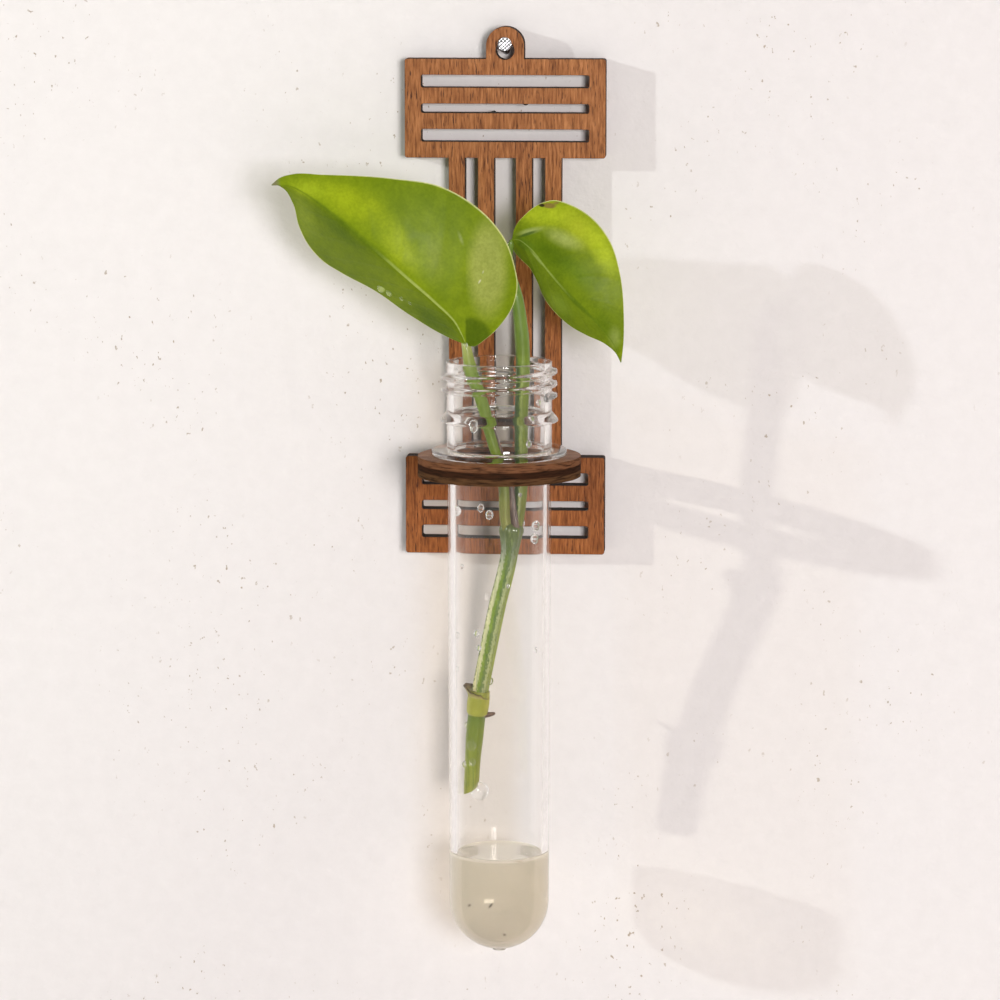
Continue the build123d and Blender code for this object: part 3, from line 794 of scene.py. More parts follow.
# Painted highlights and painted shade round the upper length: bands of factors on its colour.
UPPER_STEM_PAINTED_LIGHT = [
    (0.0, (1.5, 1.4, 1.0)), (0.05, (0.9, 0.95, 0.7)), (0.42, (0.8, 0.85, 0.8)), (0.5, (0.45, 0.5, 0.7)),
    (0.575, (0.6, 0.66, 0.9)), (0.605, (3.3, 2.6, 8.0)), (0.68, (2.8, 2.2, 6.5)), (0.7, (0.9, 1.1, 0.6)),
    (0.745, (0.95, 1.1, 0.6)), (0.76, (0.65, 0.8, 1.1)), (0.8, (0.7, 0.8, 1.1)), (0.815, (2.0, 1.7, 4.5)),
    (0.85, (1.9, 1.65, 4.0)), (0.875, (1.1, 1.1, 0.8)), (0.95, (1.3, 1.25, 0.8)), (1.0, (1.5, 1.4, 1.0)),
]
lower_skin = green_shoot("lower_shoot_skin", LOWER_STEM_TONES, (0.36, 0.38, 0.09), (0.12, 0.18, 0.02),
                         0.3, LOWER_STEM_PAINTED_LIGHT)
upper_skin = green_shoot("upper_shoot_skin", UPPER_STEM_TONES, (0.3, 0.37, 0.1), (0.08, 0.14, 0.03),
                         0.4, UPPER_STEM_PAINTED_LIGHT, (0.74, 0.95))
add_piece("stem_lower_shoot", stem_lower_mesh(), lower_skin, "cutting", "stem", "stem_lower")
add_piece("stem_upper_shoot", stem_upper_mesh(), upper_skin, "cutting", "stem", "stem_upper")


# Cutting, leaf scar and root nub: the brown cup that an old leaf left round the lower node,
# torn lower on the right, and a short root that has just broken out of the swelling.
COLLAR_RADIUS = 2.55
COLLAR_FLARE = 1.0
COLLAR_DROP = 1.9
NUB_DROP = 6.0
NUB_LENGTH = 2.6
SCAR_TONES = [      # up the outside to the rim at the half, and down the inside
    (0.0, (0.4, 0.38, 0.1)), (0.36, (0.34, 0.29, 0.09)), (0.46, (0.13, 0.075, 0.025)),
    (0.54, (0.13, 0.075, 0.025)), (0.66, (0.3, 0.23, 0.08)), (1.0, (0.36, 0.3, 0.12)),
]


def scar_tissue():
    """Corky skin, pale at the foot and brown at the torn rim."""
    material, tree, shader = new_finish("scar_tissue")
    cork = noise(tree, object_place(tree), 1400.0, 4.0)
    tone = ramp(tree, along_around(tree)[0], SCAR_TONES)
    tone = mix(tree, rescale(tree, cork, 0.5, 0.75, 0.0, 0.7), tone, (0.09, 0.05, 0.02))
    feed(tree, shader, {"Base Color": tone, "Roughness": 0.55})
    relief(tree, shader, cork, 0.15, 0.6)
    return material


def collar_mesh(rows=24, cols=72):
    """Cup wall: up the outside and down the inside, with a torn rim.

    The rim's height at an angle is 1.5 - cos(angle) plus two small waves, so that it stands highest on
    the left, where the old leaf was.
    """
    aim = unit(UPPER_NODE - LOWER_NODE)
    side, front = square_to(aim)
    angle = full_turn(cols)
    tear = 1.5 - 1.0 * np.cos(angle) + 0.16 * np.sin(5 * angle + 1) + 0.1 * np.sin(11 * angle)
    up = np.concatenate([np.linspace(0, 1, rows // 2), np.linspace(1, 0.1, rows // 2)])[:, None]
    outer = COLLAR_RADIUS + COLLAR_FLARE * up ** 1.6 * (1 - 0.75 * np.cos(angle))
    radius = np.where(np.arange(rows)[:, None] < rows // 2, outer, outer - 0.4)
    height = up * tear - COLLAR_DROP
    ring = np.cos(angle)[:, None] * side - np.sin(angle)[:, None] * front
    grid = MOUTH + LOWER_NODE + radius[..., None] * ring + height[..., None] * aim
    return make_mesh("leaf_scar_cup", [np.concatenate([grid, grid[:1]])], sharp=60)


def nub_mesh(rows=24):
    """Short tapering root, with a blunt tip turned up a little."""
    start = LOWER_NODE - (LOWER_NODE - FOOT) * (NUB_DROP / LOWER_HEIGHT) + [STEM_RADIUS * 0.6, 0, 0]
    tip = start + [NUB_LENGTH + STEM_RADIUS * 0.3, 0, 0.42]
    line = smooth_line([start, start + [1.6, 0, 0.1], tip], rows)
    u = np.linspace(0, 1, rows)
    radius = 0.84 - 0.5 * u - 0.3 * np.clip((u - 0.85) / 0.15, 0, 1) ** 2
    return make_mesh("root_tip", [shoot(line, radius, 24, 0.06, 5)])


add_piece("leaf_scar_cup", collar_mesh(), scar_tissue(), "cutting", "stem", "leaf_scar_collar")
dry_root = grained("dry_root", [(0.3, (0.05, 0.025, 0.015)), (0.7, (0.2, 0.11, 0.07))], 0.6, 2200.0, 4.0,
                   depth_mm=0.1)
add_piece("root_tip", nub_mesh(), dry_root, "cutting", "dry_sheath", "root_nub")


# Cutting, leaf stalks and sheath: two pale stalks that stand on the upper node, grooved along
# the front, with the dry pink-brown sheath that once wrapped the bud between them.
LEFT_STALK = [
    UPPER_NODE + [-0.7, -0.7, -3.0], UPPER_NODE + [-1.2, -1.0, 1.0], (1.3, -1.6, -29.5), (-1.2, -2.7, -19.5),
    (-4.0, -4.2, -8.5), (-6.8, -5.5, 0.5), (-7.4, -5.8, 4.2), (-7.9, -5.6, 7.0),
]
RIGHT_STALK = [
    UPPER_NODE + [0.8, 0.2, -3.0], UPPER_NODE + [1.5, 0.4, 1.0], (5.1, 0.4, -29.5), (5.1, 0.3, -15.0),
    (5.5, -0.3, 1.5), (4.4, -1.1, 14.0), (2.3, -1.9, 25.0), (3.1, -2.7, 29.0),
]
LEFT_STALK_RADII = [1.5, 1.6, 1.42, 1.36, 1.42, 1.5, 0.9]
RIGHT_STALK_RADII = [1.4, 1.6, 1.6, 1.65, 1.75, 1.35, 0.75]
SHEATH_LINE = [UPPER_NODE + [1.15, -2.0, -1.2], (3.2, -2.4, -34.0), (2.75, -2.4, -29.5), (0.2, -3.3, -19.5),
               (-1.9, -4.2, -12.5)]
SHEATH_RADII = [0.8, 0.9, 0.62, 0.42, 0.3, 0.12]


def stalk_mesh(name, points, radii, rows=150):
    """Leaf stalk: a rod that passes through radii at even steps, with three faint ribs and a round end."""
    u = np.linspace(0, 1, rows)
    radius = np.interp(u, np.linspace(0, 1, len(radii)), radii)
    radius *= np.sqrt(1 - 0.95 * np.clip((u - 0.97) / 0.03, 0, 1) ** 2)
    return make_mesh(name, [shoot(smooth_line(points, rows), radius, ribs=0.035, rib_count=3)])


def sheath_mesh(rows=70, cols=40):
    """Thin folded blade that tapers through SHEATH_RADII along the right edge of the left stalk."""
    u = np.linspace(0, 1, rows)
    radius = np.interp(u, np.linspace(0, 1, len(SHEATH_RADII)), SHEATH_RADII)
    blade = shoot(smooth_line(SHEATH_LINE, rows), radius, cols, 0.06, 4, 0.35)
    return make_mesh("sheath_blade", [blade], sharp=60)


LEFT_STALK_TONES = [
    (0.0, (0.21, 0.21, 0.06)), (0.14, (0.19, 0.2, 0.045)), (0.3, (0.14, 0.2, 0.02)),
    (0.8, (0.15, 0.24, 0.02)), (0.92, (0.32, 0.36, 0.1)), (1.0, (0.34, 0.38, 0.12)),
]
RIGHT_STALK_TONES = [
    (0.0, (0.15, 0.16, 0.05)), (0.2, (0.14, 0.19, 0.035)), (0.6, (0.15, 0.22, 0.03)),
    (0.8, (0.15, 0.24, 0.04)), (1.0, (0.14, 0.22, 0.03)),
]
# Painted highlights and painted shade round the right stalk: bands of factors on its colour.
RIGHT_STALK_PAINTED_LIGHT = [
    (0.0, (1.2, 1.12, 0.8)), (0.25, (1, 1, 1)), (0.5, (0.42, 0.55, 0.75)), (0.7, (0.45, 0.6, 0.8)),
    (0.735, (2.0, 1.75, 2.4)), (0.765, (1.1, 1.05, 0.9)), (1.0, (1.2, 1.12, 0.8)),
]
SHEATH_TONES = [(0.3, (0.026, 0.013, 0.008)), (0.5, (0.055, 0.028, 0.018)), (0.72, (0.15, 0.09, 0.06))]
left_skin = green_shoot("left_stalk_skin", LEFT_STALK_TONES, (0.27, 0.32, 0.08), (0.09, 0.15, 0.015))
right_skin = green_shoot("right_stalk_skin", RIGHT_STALK_TONES, (0.24, 0.31, 0.09), (0.07, 0.13, 0.02),
                         0.3, RIGHT_STALK_PAINTED_LIGHT, (0.5, 0.62))
papery_sheath = grained("papery_sheath", SHEATH_TONES, 0.5, detail=4.0,
                        stretch=(1400.0, 1400.0, 120.0), depth_mm=0.1)
left_stalk = stalk_mesh("stalk_left", LEFT_STALK, LEFT_STALK_RADII)
right_stalk = stalk_mesh("stalk_right", RIGHT_STALK, RIGHT_STALK_RADII)
add_piece("stalk_left", left_stalk, left_skin, "cutting", "stem", "petiole_left")
add_piece("stalk_right", right_stalk, right_skin, "cutting", "stem", "petiole_right")
add_piece("sheath_blade", sheath_mesh(), papery_sheath, "cutting", "dry_sheath", "stem_sheath")


# Cutting, leaves: two glossy heart-shaped blades, folded along the midrib and bowed forward.
# The face is yellow-green with a pale midrib and margin, and the underside is paler and dull.
LEFT_LEAF = {       # base from the mouth; the lines are (along, across) the chord
    "base": (-7.3, -7.2, 4.6), "angle": 139.1,
    "bow": 85.0, "crown": 32.0, "slopes": (0.12, 1.3), "curl": 83.0, "fold": 1.1,
    "midrib": [
        (0, 0), (2.3, 1.2), (5.2, 2.4), (11.7, 3.1), (19.4, 3.3), (28.0, 3.5), (44.1, 3.2), (50.6, 2.6),
        (55.5, 1.2), (58.8, -1.7),
    ],
    "upper": [
        (0, 0), (-1.5, 0.6), (-2.6, 3.8), (-3.1, 9.0), (-2.2, 14.3), (-0.1, 18.0), (3.9, 21.5), (8.4, 24.2),
        (13.6, 25.7), (21.0, 26.0), (28.6, 24.4), (38.3, 18.6), (51.5, 8.3), (56.5, 4.0), (58.4, 1.0),
        (58.8, -1.7),
    ],
    "lower": [
        (0, 0), (4.2, -1.9), (14.1, -4.1), (24.3, -5.3), (33.2, -7.8), (38.6, -8.8), (43.6, -8.0),
        (47.9, -5.7), (52.3, -1.8), (55.9, -0.3), (57.5, -0.5), (58.8, -1.7),
    ],
}
RIGHT_LEAF = {
    "base": (3.2, -3.2, 29.0), "angle": -48.2,
    "bow": 60.0, "crown": 19.0, "slopes": (0.12, 1.2), "curl": 62.5, "fold": 2.4,
    "midrib": [
        (0, 0), (1.2, 1.2), (3.5, 1.8), (11.5, 1.6), (19.6, 1.6), (27.0, 2.1), (35.2, 1.3), (38.7, -0.2),
    ],
    "upper": [
        (0, 0), (-1.6, 2.3), (-2.3, 6.5), (-1.9, 10.3), (-0.6, 13.0), (3.3, 15.8), (8.5, 17.4), (15.3, 17.1),
        (23.0, 13.7), (30.8, 7.9), (37.0, 1.9), (38.7, -0.2),
    ],
    "lower": [
        (0, 0), (2.0, -1.5), (8.5, -1.5), (11.4, -2.3), (15.0, -3.7), (21.1, -4.1), (24.9, -3.5),
        (28.6, -2.0), (32.6, 0.0), (36.0, 0.5), (38.7, -0.2),
    ],
}
LEAF_THICKNESS = 0.36
MIDRIB_THICKNESS = 1.0
MIDRIB_WIDTH = 0.9
VEIN_COUNT = 7.5           # lateral veins from stalk to tip
VEIN_SLANT = 1.6           # veins that one passes on its way from the midrib to the margin
VEIN_HEIGHT = 0.07


def leaf_depth(leaf, p, q):
    """How far back a blade lies at p along its chord and q across it.

    v is the distance from the midrib line. The depth is two slopes joined by a hyperbola at the
    midrib, plus v squared over twice the curl, plus the circle that bows the chord forward.
    """
    upper, lower = leaf["slopes"]
    rib = np.array(leaf["midrib"])
    v = q - np.interp(p, rib[:, 0], rib[:, 1])
    knuckle = np.sqrt(v * v + leaf["fold"] ** 2) - leaf["fold"]
    fold = (upper - lower) / 2 * v + (upper + lower) / 2 * knuckle
    bow, crown = leaf["bow"], leaf["crown"]
    arch = np.sqrt(bow ** 2 - crown ** 2) - np.sqrt(bow ** 2 - (p - crown) ** 2)
    return fold + v * v / (2 * leaf["curl"]) + arch


def leaf_axes(leaf):
    """The chord and the way across it, both in the plane of the wall."""
    angle = np.radians(leaf["angle"])
    chord = np.array([np.cos(angle), 0, np.sin(angle)])
    across = np.array([chord[2], 0, -chord[0]])
    return chord, across if across[2] > 0 else -across


def leaf_point(leaf, p, q):
    """The face of a blade at p along its chord and q across it, from the mouth's place."""
    chord, across = leaf_axes(leaf)
    here = p[..., None] * chord + q[..., None] * across + leaf_depth(leaf, p, q)[..., None] * BACK
    return MOUTH + np.array(leaf["base"]) + here


def leaf_mesh(name, leaf, rows=150, half=34):
    """Blade as a fan of lines from the midrib to each margin, with its underside a thickness behind.

    A row s joins the midrib at s ** 1.25 of its length to both margins at s of theirs. The underside
    is thicker by a bell curve of the distance from the midrib, which is the raised rib.
    """
    s = np.linspace(0.006, 0.997, rows)
    fine = 600
    rib, upper, lower = (smooth_line(leaf[key], fine) for key in ("midrib", "upper", "lower"))
    pick = np.linspace(0, 1, fine)
    middle = np.stack([np.interp(s ** 1.25, pick, rib[:, k]) for k in (0, 1)], 1)
    sides = [np.stack([np.interp(s, pick, edge[:, k]) for k in (0, 1)], 1) for edge in (lower, upper)]
    t = np.concatenate([-np.linspace(1, 0, half), np.linspace(0, 1, half)[1:]])
    share = np.abs(t)[None, :, None]
    edge = np.where((t < 0)[None, :, None], sides[0][:, None], sides[1][:, None])
    flat = middle[:, None] * (1 - share) + edge * share
    face = leaf_point(leaf, flat[..., 0], flat[..., 1])
    out = np.abs(t)
    veins = np.sin(2 * np.pi * (VEIN_COUNT * s[:, None] - VEIN_SLANT * out)) * out * (1 - out) * VEIN_HEIGHT
    normal = np.cross(np.gradient(face, axis=0), np.gradient(face, axis=1))
    normal /= np.linalg.norm(normal, axis=2, keepdims=True) + 1e-9
    normal *= np.where(normal[..., 1:2] < 0, -1, 1)
    face = face + veins[..., None] * normal
    away = np.linalg.norm(flat - middle[:, None], axis=2)
    taper = (1 - 0.75 * s)[:, None]
    raised = MIDRIB_THICKNESS * taper * np.exp(-(away / MIDRIB_WIDTH) ** 2)
    thick = LEAF_THICKNESS * (1 - 0.6 * out ** 6) + raised
    under = face + thick[..., None] * normal
    grid = np.concatenate([face, under[:, ::-1]], axis=1)
    around = np.concatenate([(t + 1) / 2, 2 + (t[::-1] + 1) / 2, [2.0]])
    return make_mesh(name, [grid], along=s, around=around, sharp=70)


def spot(tree, place, size, turn, soft, left=None):
    """Mask about a place (x, z) on the wall plane, 1 inside an ellipse and 0 at its edge, in millimetres.

    turn is degrees up from +X, soft is the share of the radius over which the mask fades, and left
    is an x at which the mask is cut off sharply.
    """
    here = node(tree, "TexCoord").outputs["Object"]
    inputs = {
        "Vector": here,
        "Location": (place[0] * MM, 0, place[1] * MM),
        "Rotation": (0, -np.radians(turn), 0),
        "Scale": (size[0] * MM, 1000, size[1] * MM),
    }
    ellipse = node(tree, "Mapping", inputs, vector_type="TEXTURE").outputs["Vector"]
    ball = node(tree, "TexGradient", {"Vector": ellipse}, gradient_type="SPHERICAL").outputs["Fac"]
    mask = rescale(tree, ball, 0.0, soft)
    if left is None:
        return mask
    return times(tree, mask, rescale(tree, axis_of(tree, here, 0), (left - 0.25) * MM, (left + 0.25) * MM))


def leaf_blade(name, upper, lower, lift, spots, tip_brown, rib_share):
    """Glossy blade. u runs from stalk to tip, and v is 0 to 1 across the face, 2 to 3 across the underside.

    Lateral veins are lines of even VEIN_COUNT * u - VEIN_SLANT * away, where away is 0 on the midrib and
    1 at the margin. Spots lay a colour over a soft round place on the blade; among them are painted sheen,
    painted highlights and painted shade. The dark line along the midrib towards the tip is painted shade.
    """
    material, tree, shader = new_finish(name)
    u, v = along_around(tree)
    under = maths(tree, "GREATER_THAN", v, 1.5)
    across = maths(tree, "SUBTRACT", v, times(tree, under, 2.0))
    away = times(tree, maths(tree, "ABSOLUTE", maths(tree, "SUBTRACT", across, 0.5)), 2.0)
    cloud = noise(tree, object_place(tree), 75.0, 3.0)
    side = rescale(tree, across, 0.485, 0.515)
    level = maths(tree, "ADD", cloud, times(tree, maths(tree, "SUBTRACT", away, 0.5), lift))
    upper_tone = ramp(tree, level, [(0.33, upper[0]), (0.68, upper[1])])
    lower_tone = ramp(tree, cloud, [(0.33, lower[0]), (0.68, lower[1])])
    tone = mix(tree, side, lower_tone, upper_tone)
    run = maths(tree, "SUBTRACT", times(tree, u, VEIN_COUNT), times(tree, away, VEIN_SLANT))
    wave = maths(tree, "ABSOLUTE", maths(tree, "SUBTRACT", maths(tree, "FRACT", run), 0.5))
    vein = rescale(tree, wave, 0.16, 0.0)
    tone = mix(tree, times(tree, vein, 0.1), tone, lower[0])
    for centre, size, turn, soft, colour, strength, *limit in spots:
        mask = spot(tree, centre, size, turn, soft, *limit)
        tone = mix(tree, times(tree, mask, strength), tone, colour)
    # Painted shade: a dark line in the crease along the midrib towards the tip.
    crease = times(tree, rescale(tree, away, 0.07, 0.01), rescale(tree, u, 0.4, 0.6))
    tone = mix(tree, times(tree, crease, 0.6), tone, (0.1, 0.16, 0.008))
    rib = times(tree, rescale(tree, away, 0.03, 0.01), rescale(tree, u, 0.62, 0.4))
    tone = mix(tree, times(tree, rib, rib_share), tone, (0.4, 0.47, 0.12))
    tone = mix(tree, rescale(tree, away, 0.98, 0.996), tone, (0.6, 0.62, 0.25))
    tone = mix(tree, rescale(tree, u, 0.965, 0.985, 0.0, tip_brown), tone, (0.2, 0.17, 0.11))
    speckle = noise(tree, object_place(tree), 1500.0, 3.0)
    tone = tint(tree, tone, speckle, [(0.35, (0.9, 0.91, 0.88)), (0.65, (1.07, 1.06, 1.1))])
    mottle = noise(tree, object_place(tree), 330.0, 4.0, 0.6)
    tone = tint(tree, tone, mottle, [(0.35, (0.9, 0.92, 0.9)), (0.65, (1.08, 1.06, 1.1))])
    dull = mix(tree, rescale(tree, away, 0.1, 0.02), (0.3, 0.4, 0.11), (0.45, 0.5, 0.2))
    dull = mix(tree, times(tree, vein, 0.5), dull, (0.38, 0.46, 0.16))
    skin = noise(tree, object_place(tree), 420.0, 4.0)
    gloss = rescale(tree, skin, 0.3, 0.75, 0.3, 0.4)
    feed(tree, shader, {
        "Base Color": mix(tree, under, tone, dull),
        "Roughness": maths(tree, "ADD", gloss, times(tree, under, 0.22)),
        "Specular IOR Level": 0.05,
    })
    relief(tree, shader, maths(tree, "ADD", times(tree, skin, 0.4), vein), 0.05, 0.5)
    pass_light(tree, shader, (0.52, 0.52, 0.44, 1))
    return material


DARK_GREEN = (0.085, 0.14, 0.004)
MIDDLE_GREEN = (0.15, 0.22, 0.008)
YELLOW_GREEN = (0.33, 0.41, 0.011)
PAINTED_SHEEN = (0.35, 0.39, 0.085)
LEFT_SPOTS = [      # place (x, z), half sizes, turn, softness, colour, strength, sharp left end
    ((-18.5, -32.7), (15.0, 6.0), -10, 1.0, MIDDLE_GREEN, 0.7),
    ((-8.7, -36.0), (8.0, 7.0), 0, 1.0, MIDDLE_GREEN, 0.6),
    ((-42.5, -30.6), (10.0, 3.5), -8, 1.0, (0.34, 0.425, 0.017), 0.8),
    ((-33.0, -33.8), (13.0, 5.6), -24, 1.0, YELLOW_GREEN, 0.85),
    ((-22.5, -43.5), (11.0, 4.6), -60, 1.0, YELLOW_GREEN, 0.85),
    ((-14.3, -46.5), (3.2, 7.5), 0, 1.0, (0.25, 0.31, 0.04), 0.6),
    # Painted sheen: the reflection's pale reach up the margin, then its main patch, cut off sharply on the
    # left.
    ((-0.5, -42.0), (4.5, 7.0), 40, 1.0, (0.26, 0.32, 0.05), 0.6),
    ((-2.2, -49.5), (5.8, 14.0), 0, 0.6, PAINTED_SHEEN, 0.85, -7.15),
    ((-8.3, -42.0), (0.6, 2.4), 20, 1.0, (0.4, 0.45, 0.17), 0.4),
    ((-4.0, -52.2), (0.3, 0.8), -30, 0.8, (0.7, 0.7, 0.5), 0.6),
    ((-3.2, -50.0), (0.25, 0.6), -20, 0.8, (0.65, 0.65, 0.45), 0.45),
    # Painted shade: a dark patch near the base where the sheen ends, cut off sharply on the left.
    ((-6.5, -65.4), (5.8, 5.5), 0, 0.3, (0.075, 0.125, 0.004), 0.85, -7.3),
    ((-35.8, -40.4), (10.0, 3.0), -40, 0.9, DARK_GREEN, 0.75),
    ((-15.5, -61.6), (10.0, 4.0), -37, 1.0, DARK_GREEN, 0.95),
    ((-45.3, -37.5), (3.5, 8.5), 15, 1.0, (0.24, 0.31, 0.025), 0.6),
    # Painted highlights: pale spots under the water drops.
    ((-27.3, -54.5), (1.1, 0.7), -25, 0.6, (0.44, 0.52, 0.13), 0.8),
    ((-25.7, -55.5), (0.8, 0.45), -25, 0.6, (0.42, 0.5, 0.13), 0.7),
    ((-22.6, -56.9), (0.55, 0.35), -40, 0.6, (0.44, 0.52, 0.16), 0.7),
]
RIGHT_SPOTS = [
    ((12.0, -36.8), (11.0, 4.6), 0, 0.9, (0.39, 0.47, 0.02), 0.9),
    ((19.5, -40.4), (9.0, 5.0), -38, 0.9, (0.37, 0.43, 0.022), 0.85),
    ((24.6, -45.0), (11.0, 3.8), -61, 0.9, (0.4, 0.485, 0.02), 0.9),
    ((12.5, -46.0), (9.0, 3.3), -28, 0.9, DARK_GREEN, 0.85),
    ((5.9, -43.8), (3.6, 1.9), -30, 0.8, (0.09, 0.155, 0.01), 0.8),
    ((19.4, -50.5), (8.0, 4.0), -40, 1.0, (0.11, 0.18, 0.005), 0.75),
    ((14.6, -58.0), (5.5, 2.8), -48, 1.0, (0.2, 0.28, 0.03), 0.6),
    # Painted sheen.
    ((15.6, -42.4), (7.0, 2.6), -24, 1.0, (0.4, 0.45, 0.12), 0.7),
    # Painted highlight along the fold, with painted shade in the crease under it.
    ((7.6, -40.7), (4.4, 1.0), 14, 1.0, (0.4, 0.45, 0.15), 0.7),
    ((6.9, -41.4), (3.3, 0.5), 20, 0.7, (0.05, 0.095, 0.012), 0.85),
    ((9.2, -47.0), (3.8, 0.4), -49, 0.9, (0.3, 0.37, 0.1), 0.6),
    # Painted shade in a slanting crease.
    ((18.2, -57.0), (7.2, 0.9), -45, 0.8, (0.08, 0.13, 0.005), 0.7),
    ((27.5, -65.5), (2.2, 3.8), 0, 1.0, (0.34, 0.4, 0.1), 0.5),
    ((11.9, -34.9), (2.0, 0.8), -3, 0.5, (0.22, 0.13, 0.04), 0.85),
    ((13.5, -34.3), (1.0, 0.4), 10, 0.6, (0.25, 0.15, 0.05), 0.7),
    ((10.1, -34.8), (0.85, 0.5), -10, 0.4, (0.03, 0.02, 0.01), 0.95),
]
# The left blade's lower half takes darker tones than its upper half: painted shade on the half that turns
# away.
left_blade_skin = leaf_blade(
    "left_blade_skin", ((0.155, 0.225, 0.006), (0.205, 0.28, 0.008)),
    ((0.118, 0.175, 0.004), (0.165, 0.228, 0.006)), -0.1, LEFT_SPOTS, 0.8, 0.75)
right_blade_skin = leaf_blade(
    "right_blade_skin", ((0.115, 0.175, 0.006), (0.19, 0.255, 0.008)),
    ((0.115, 0.168, 0.007), (0.165, 0.228, 0.01)), 0.3, RIGHT_SPOTS, 0.2, 0.35)
add_piece("blade_left", leaf_mesh("blade_left", LEFT_LEAF), left_blade_skin,
          "cutting", "leaf", "leaf_left")
add_piece("blade_right", leaf_mesh("blade_right", RIGHT_LEAF), right_blade_skin,
          "cutting", "leaf", "leaf_right")


# Droplets: clear water beaded on the bore, along the stem, under the cut and on the left blade.
# Each is a round dome, sunk a little into a skin or just clear of the bore, and the one under
# the cut is a ball.
BORE_DROPS = [      # angle round the tube, depth below the mouth, half width
    (206, 2.0, 0.8), (242, 14.5, 1.0), (328, 9.0, 0.6), (316, 13.0, 0.7), (312, 18.5, 0.7),
    (209, 35.0, 1.0), (251, 33.5, 0.8), (262, 35.0, 0.9), (325, 38.2, 1.0), (323, 41.2, 1.0),
    (245, 63.5, 0.7), (248, 67.0, 0.6), (210, 64.8, 0.6), (208, 73.0, 0.5), (230, 27.5, 0.4),
    (300, 30.5, 0.4), (222, 48.0, 0.45), (285, 52.0, 0.4), (60, 40.0, 0.7), (110, 58.0, 0.8),
    (140, 30.0, 0.6), (30, 70.0, 0.5),
]
STEM_DROPS = [      # depth below the mouth, angle round the stem (front is 270), half width
    (92.5, 262, 1.15), (96.6, 275, 0.85), (97.5, 205, 0.7), (88.0, 185, 0.7), (60.0, 210, 0.6),
    (66.0, 195, 0.6), (77.0, 350, 0.8), (46.0, 330, 0.5),
]
LEAF_DROPS = [      # along and across the left leaf's chord, half width
    (23.8, -3.6, 0.9), (21.6, -3.0, 0.75), (18.6, -1.8, 0.55), (16.3, -1.3, 0.5), (0.1, -0.1, 0.6),
]
FOOT_DROP_RADIUS = 2.2
NEARLY_UP = np.array([0.07, 0.05, 1.0])      # never quite along a drop's own way out
FOOT_DROP_PLACE = FOOT + [2.1, -0.9, -0.1]


def dome(centre, normal, half, height, lift, sag=0.15, rows=12, cols=24):
    """Dome lifted off its place: the height falls as sqrt(1 - r * r), and the outline sags a little."""
    normal = unit(normal)
    side = unit(np.cross(NEARLY_UP, normal))
    up = np.cross(normal, side)
    r = np.linspace(0.03, 1, rows)[:, None]
    angle = full_turn(cols)
    rise = height * np.sqrt(1.0004 - r * r) + lift
    across = half * r * np.cos(angle)
    along = half * r * (1.15 * np.sin(angle) - sag * (1 - np.sin(angle)))
    rise = np.broadcast_to(rise, across.shape)
    return centre + across[..., None] * side + along[..., None] * up + rise[..., None] * normal


def bore_drops():
    """Domes on the bore, at their angle and depth."""
    angle, depth, half = np.array(BORE_DROPS).T
    bore = np.where(depth < NECK_HEIGHT, NECK_BORE, bore_at(depth))
    out = outward(np.radians(angle))
    centres = MOUTH + bore[:, None] * out - depth[:, None] * UP
    domes = [dome(centre, -way, size, size, 0.02) for centre, way, size in zip(centres, out, half)]
    return make_mesh("bore_drops", domes, sharp=75)


def shoot_middle(depth):
    """Middle of the stem at a depth below the mouth."""
    line = np.vstack([smooth_line(LOWER_LINE, 40),
                      smooth_line([LOWER_NODE, STEM_MIDDLE, UPPER_NODE], 40)[1:]])
    return np.array([np.interp(-depth, line[:, 2], line[:, k]) for k in range(3)])


def stem_drops():
    """Domes on the stem, and the round drop that hangs from its cut."""
    grids = []
    for depth, turn, half in STEM_DROPS:
        out = outward(np.radians(turn))
        grids.append(dome(MOUTH + shoot_middle(depth) + STEM_RADIUS * out, out, half, 1.25 * half, -0.1))
    latitude = np.radians(np.linspace(-88, 88, 26))[:, None, None]
    ball = np.cos(latitude) * outward(full_turn(36)) + np.sin(latitude) * UP
    grids.append(MOUTH + FOOT_DROP_PLACE + FOOT_DROP_RADIUS * ball)
    return make_mesh("stem_drops", grids, sharp=75)


def leaf_drops():
    """Domes on the lower half of the left blade."""
    p, q, half = np.array(LEAF_DROPS).T
    here = leaf_point(LEFT_LEAF, p, q)
    along = leaf_point(LEFT_LEAF, p + 0.1, q) - here
    across = leaf_point(LEFT_LEAF, p, q + 0.1) - here
    out = np.cross(along, across)
    out *= np.where(out[:, 1:2] > 0, -1, 1)
    domes = [dome(centre, way, size, 0.9 * size, -0.05) for centre, way, size in zip(here, out, half)]
    return make_mesh("leaf_drops", domes, sharp=75)


def clear_drop():
    """Clean water."""
    material, tree, shader = new_finish("clear_drop")
    ripple = noise(tree, object_place(tree), 500.0, 2.0)
    feed(tree, shader, {
        "Base Color": (1, 1, 1, 1),
        "Transmission Weight": 0.96,
        "IOR": 1.4,
        "Roughness": rescale(tree, ripple, 0.3, 0.8, 0.06, 0.09),
    })
    see_through(tree, shader, (0.97, 0.97, 0.97, 1))
    return material


drop_water = clear_drop()
add_piece("bore_drops", bore_drops(), drop_water, "tube", "water")
add_piece("stem_drops", stem_drops(), drop_water, "cutting", "water")
add_piece("leaf_drops", leaf_drops(), drop_water, "cutting", "water")


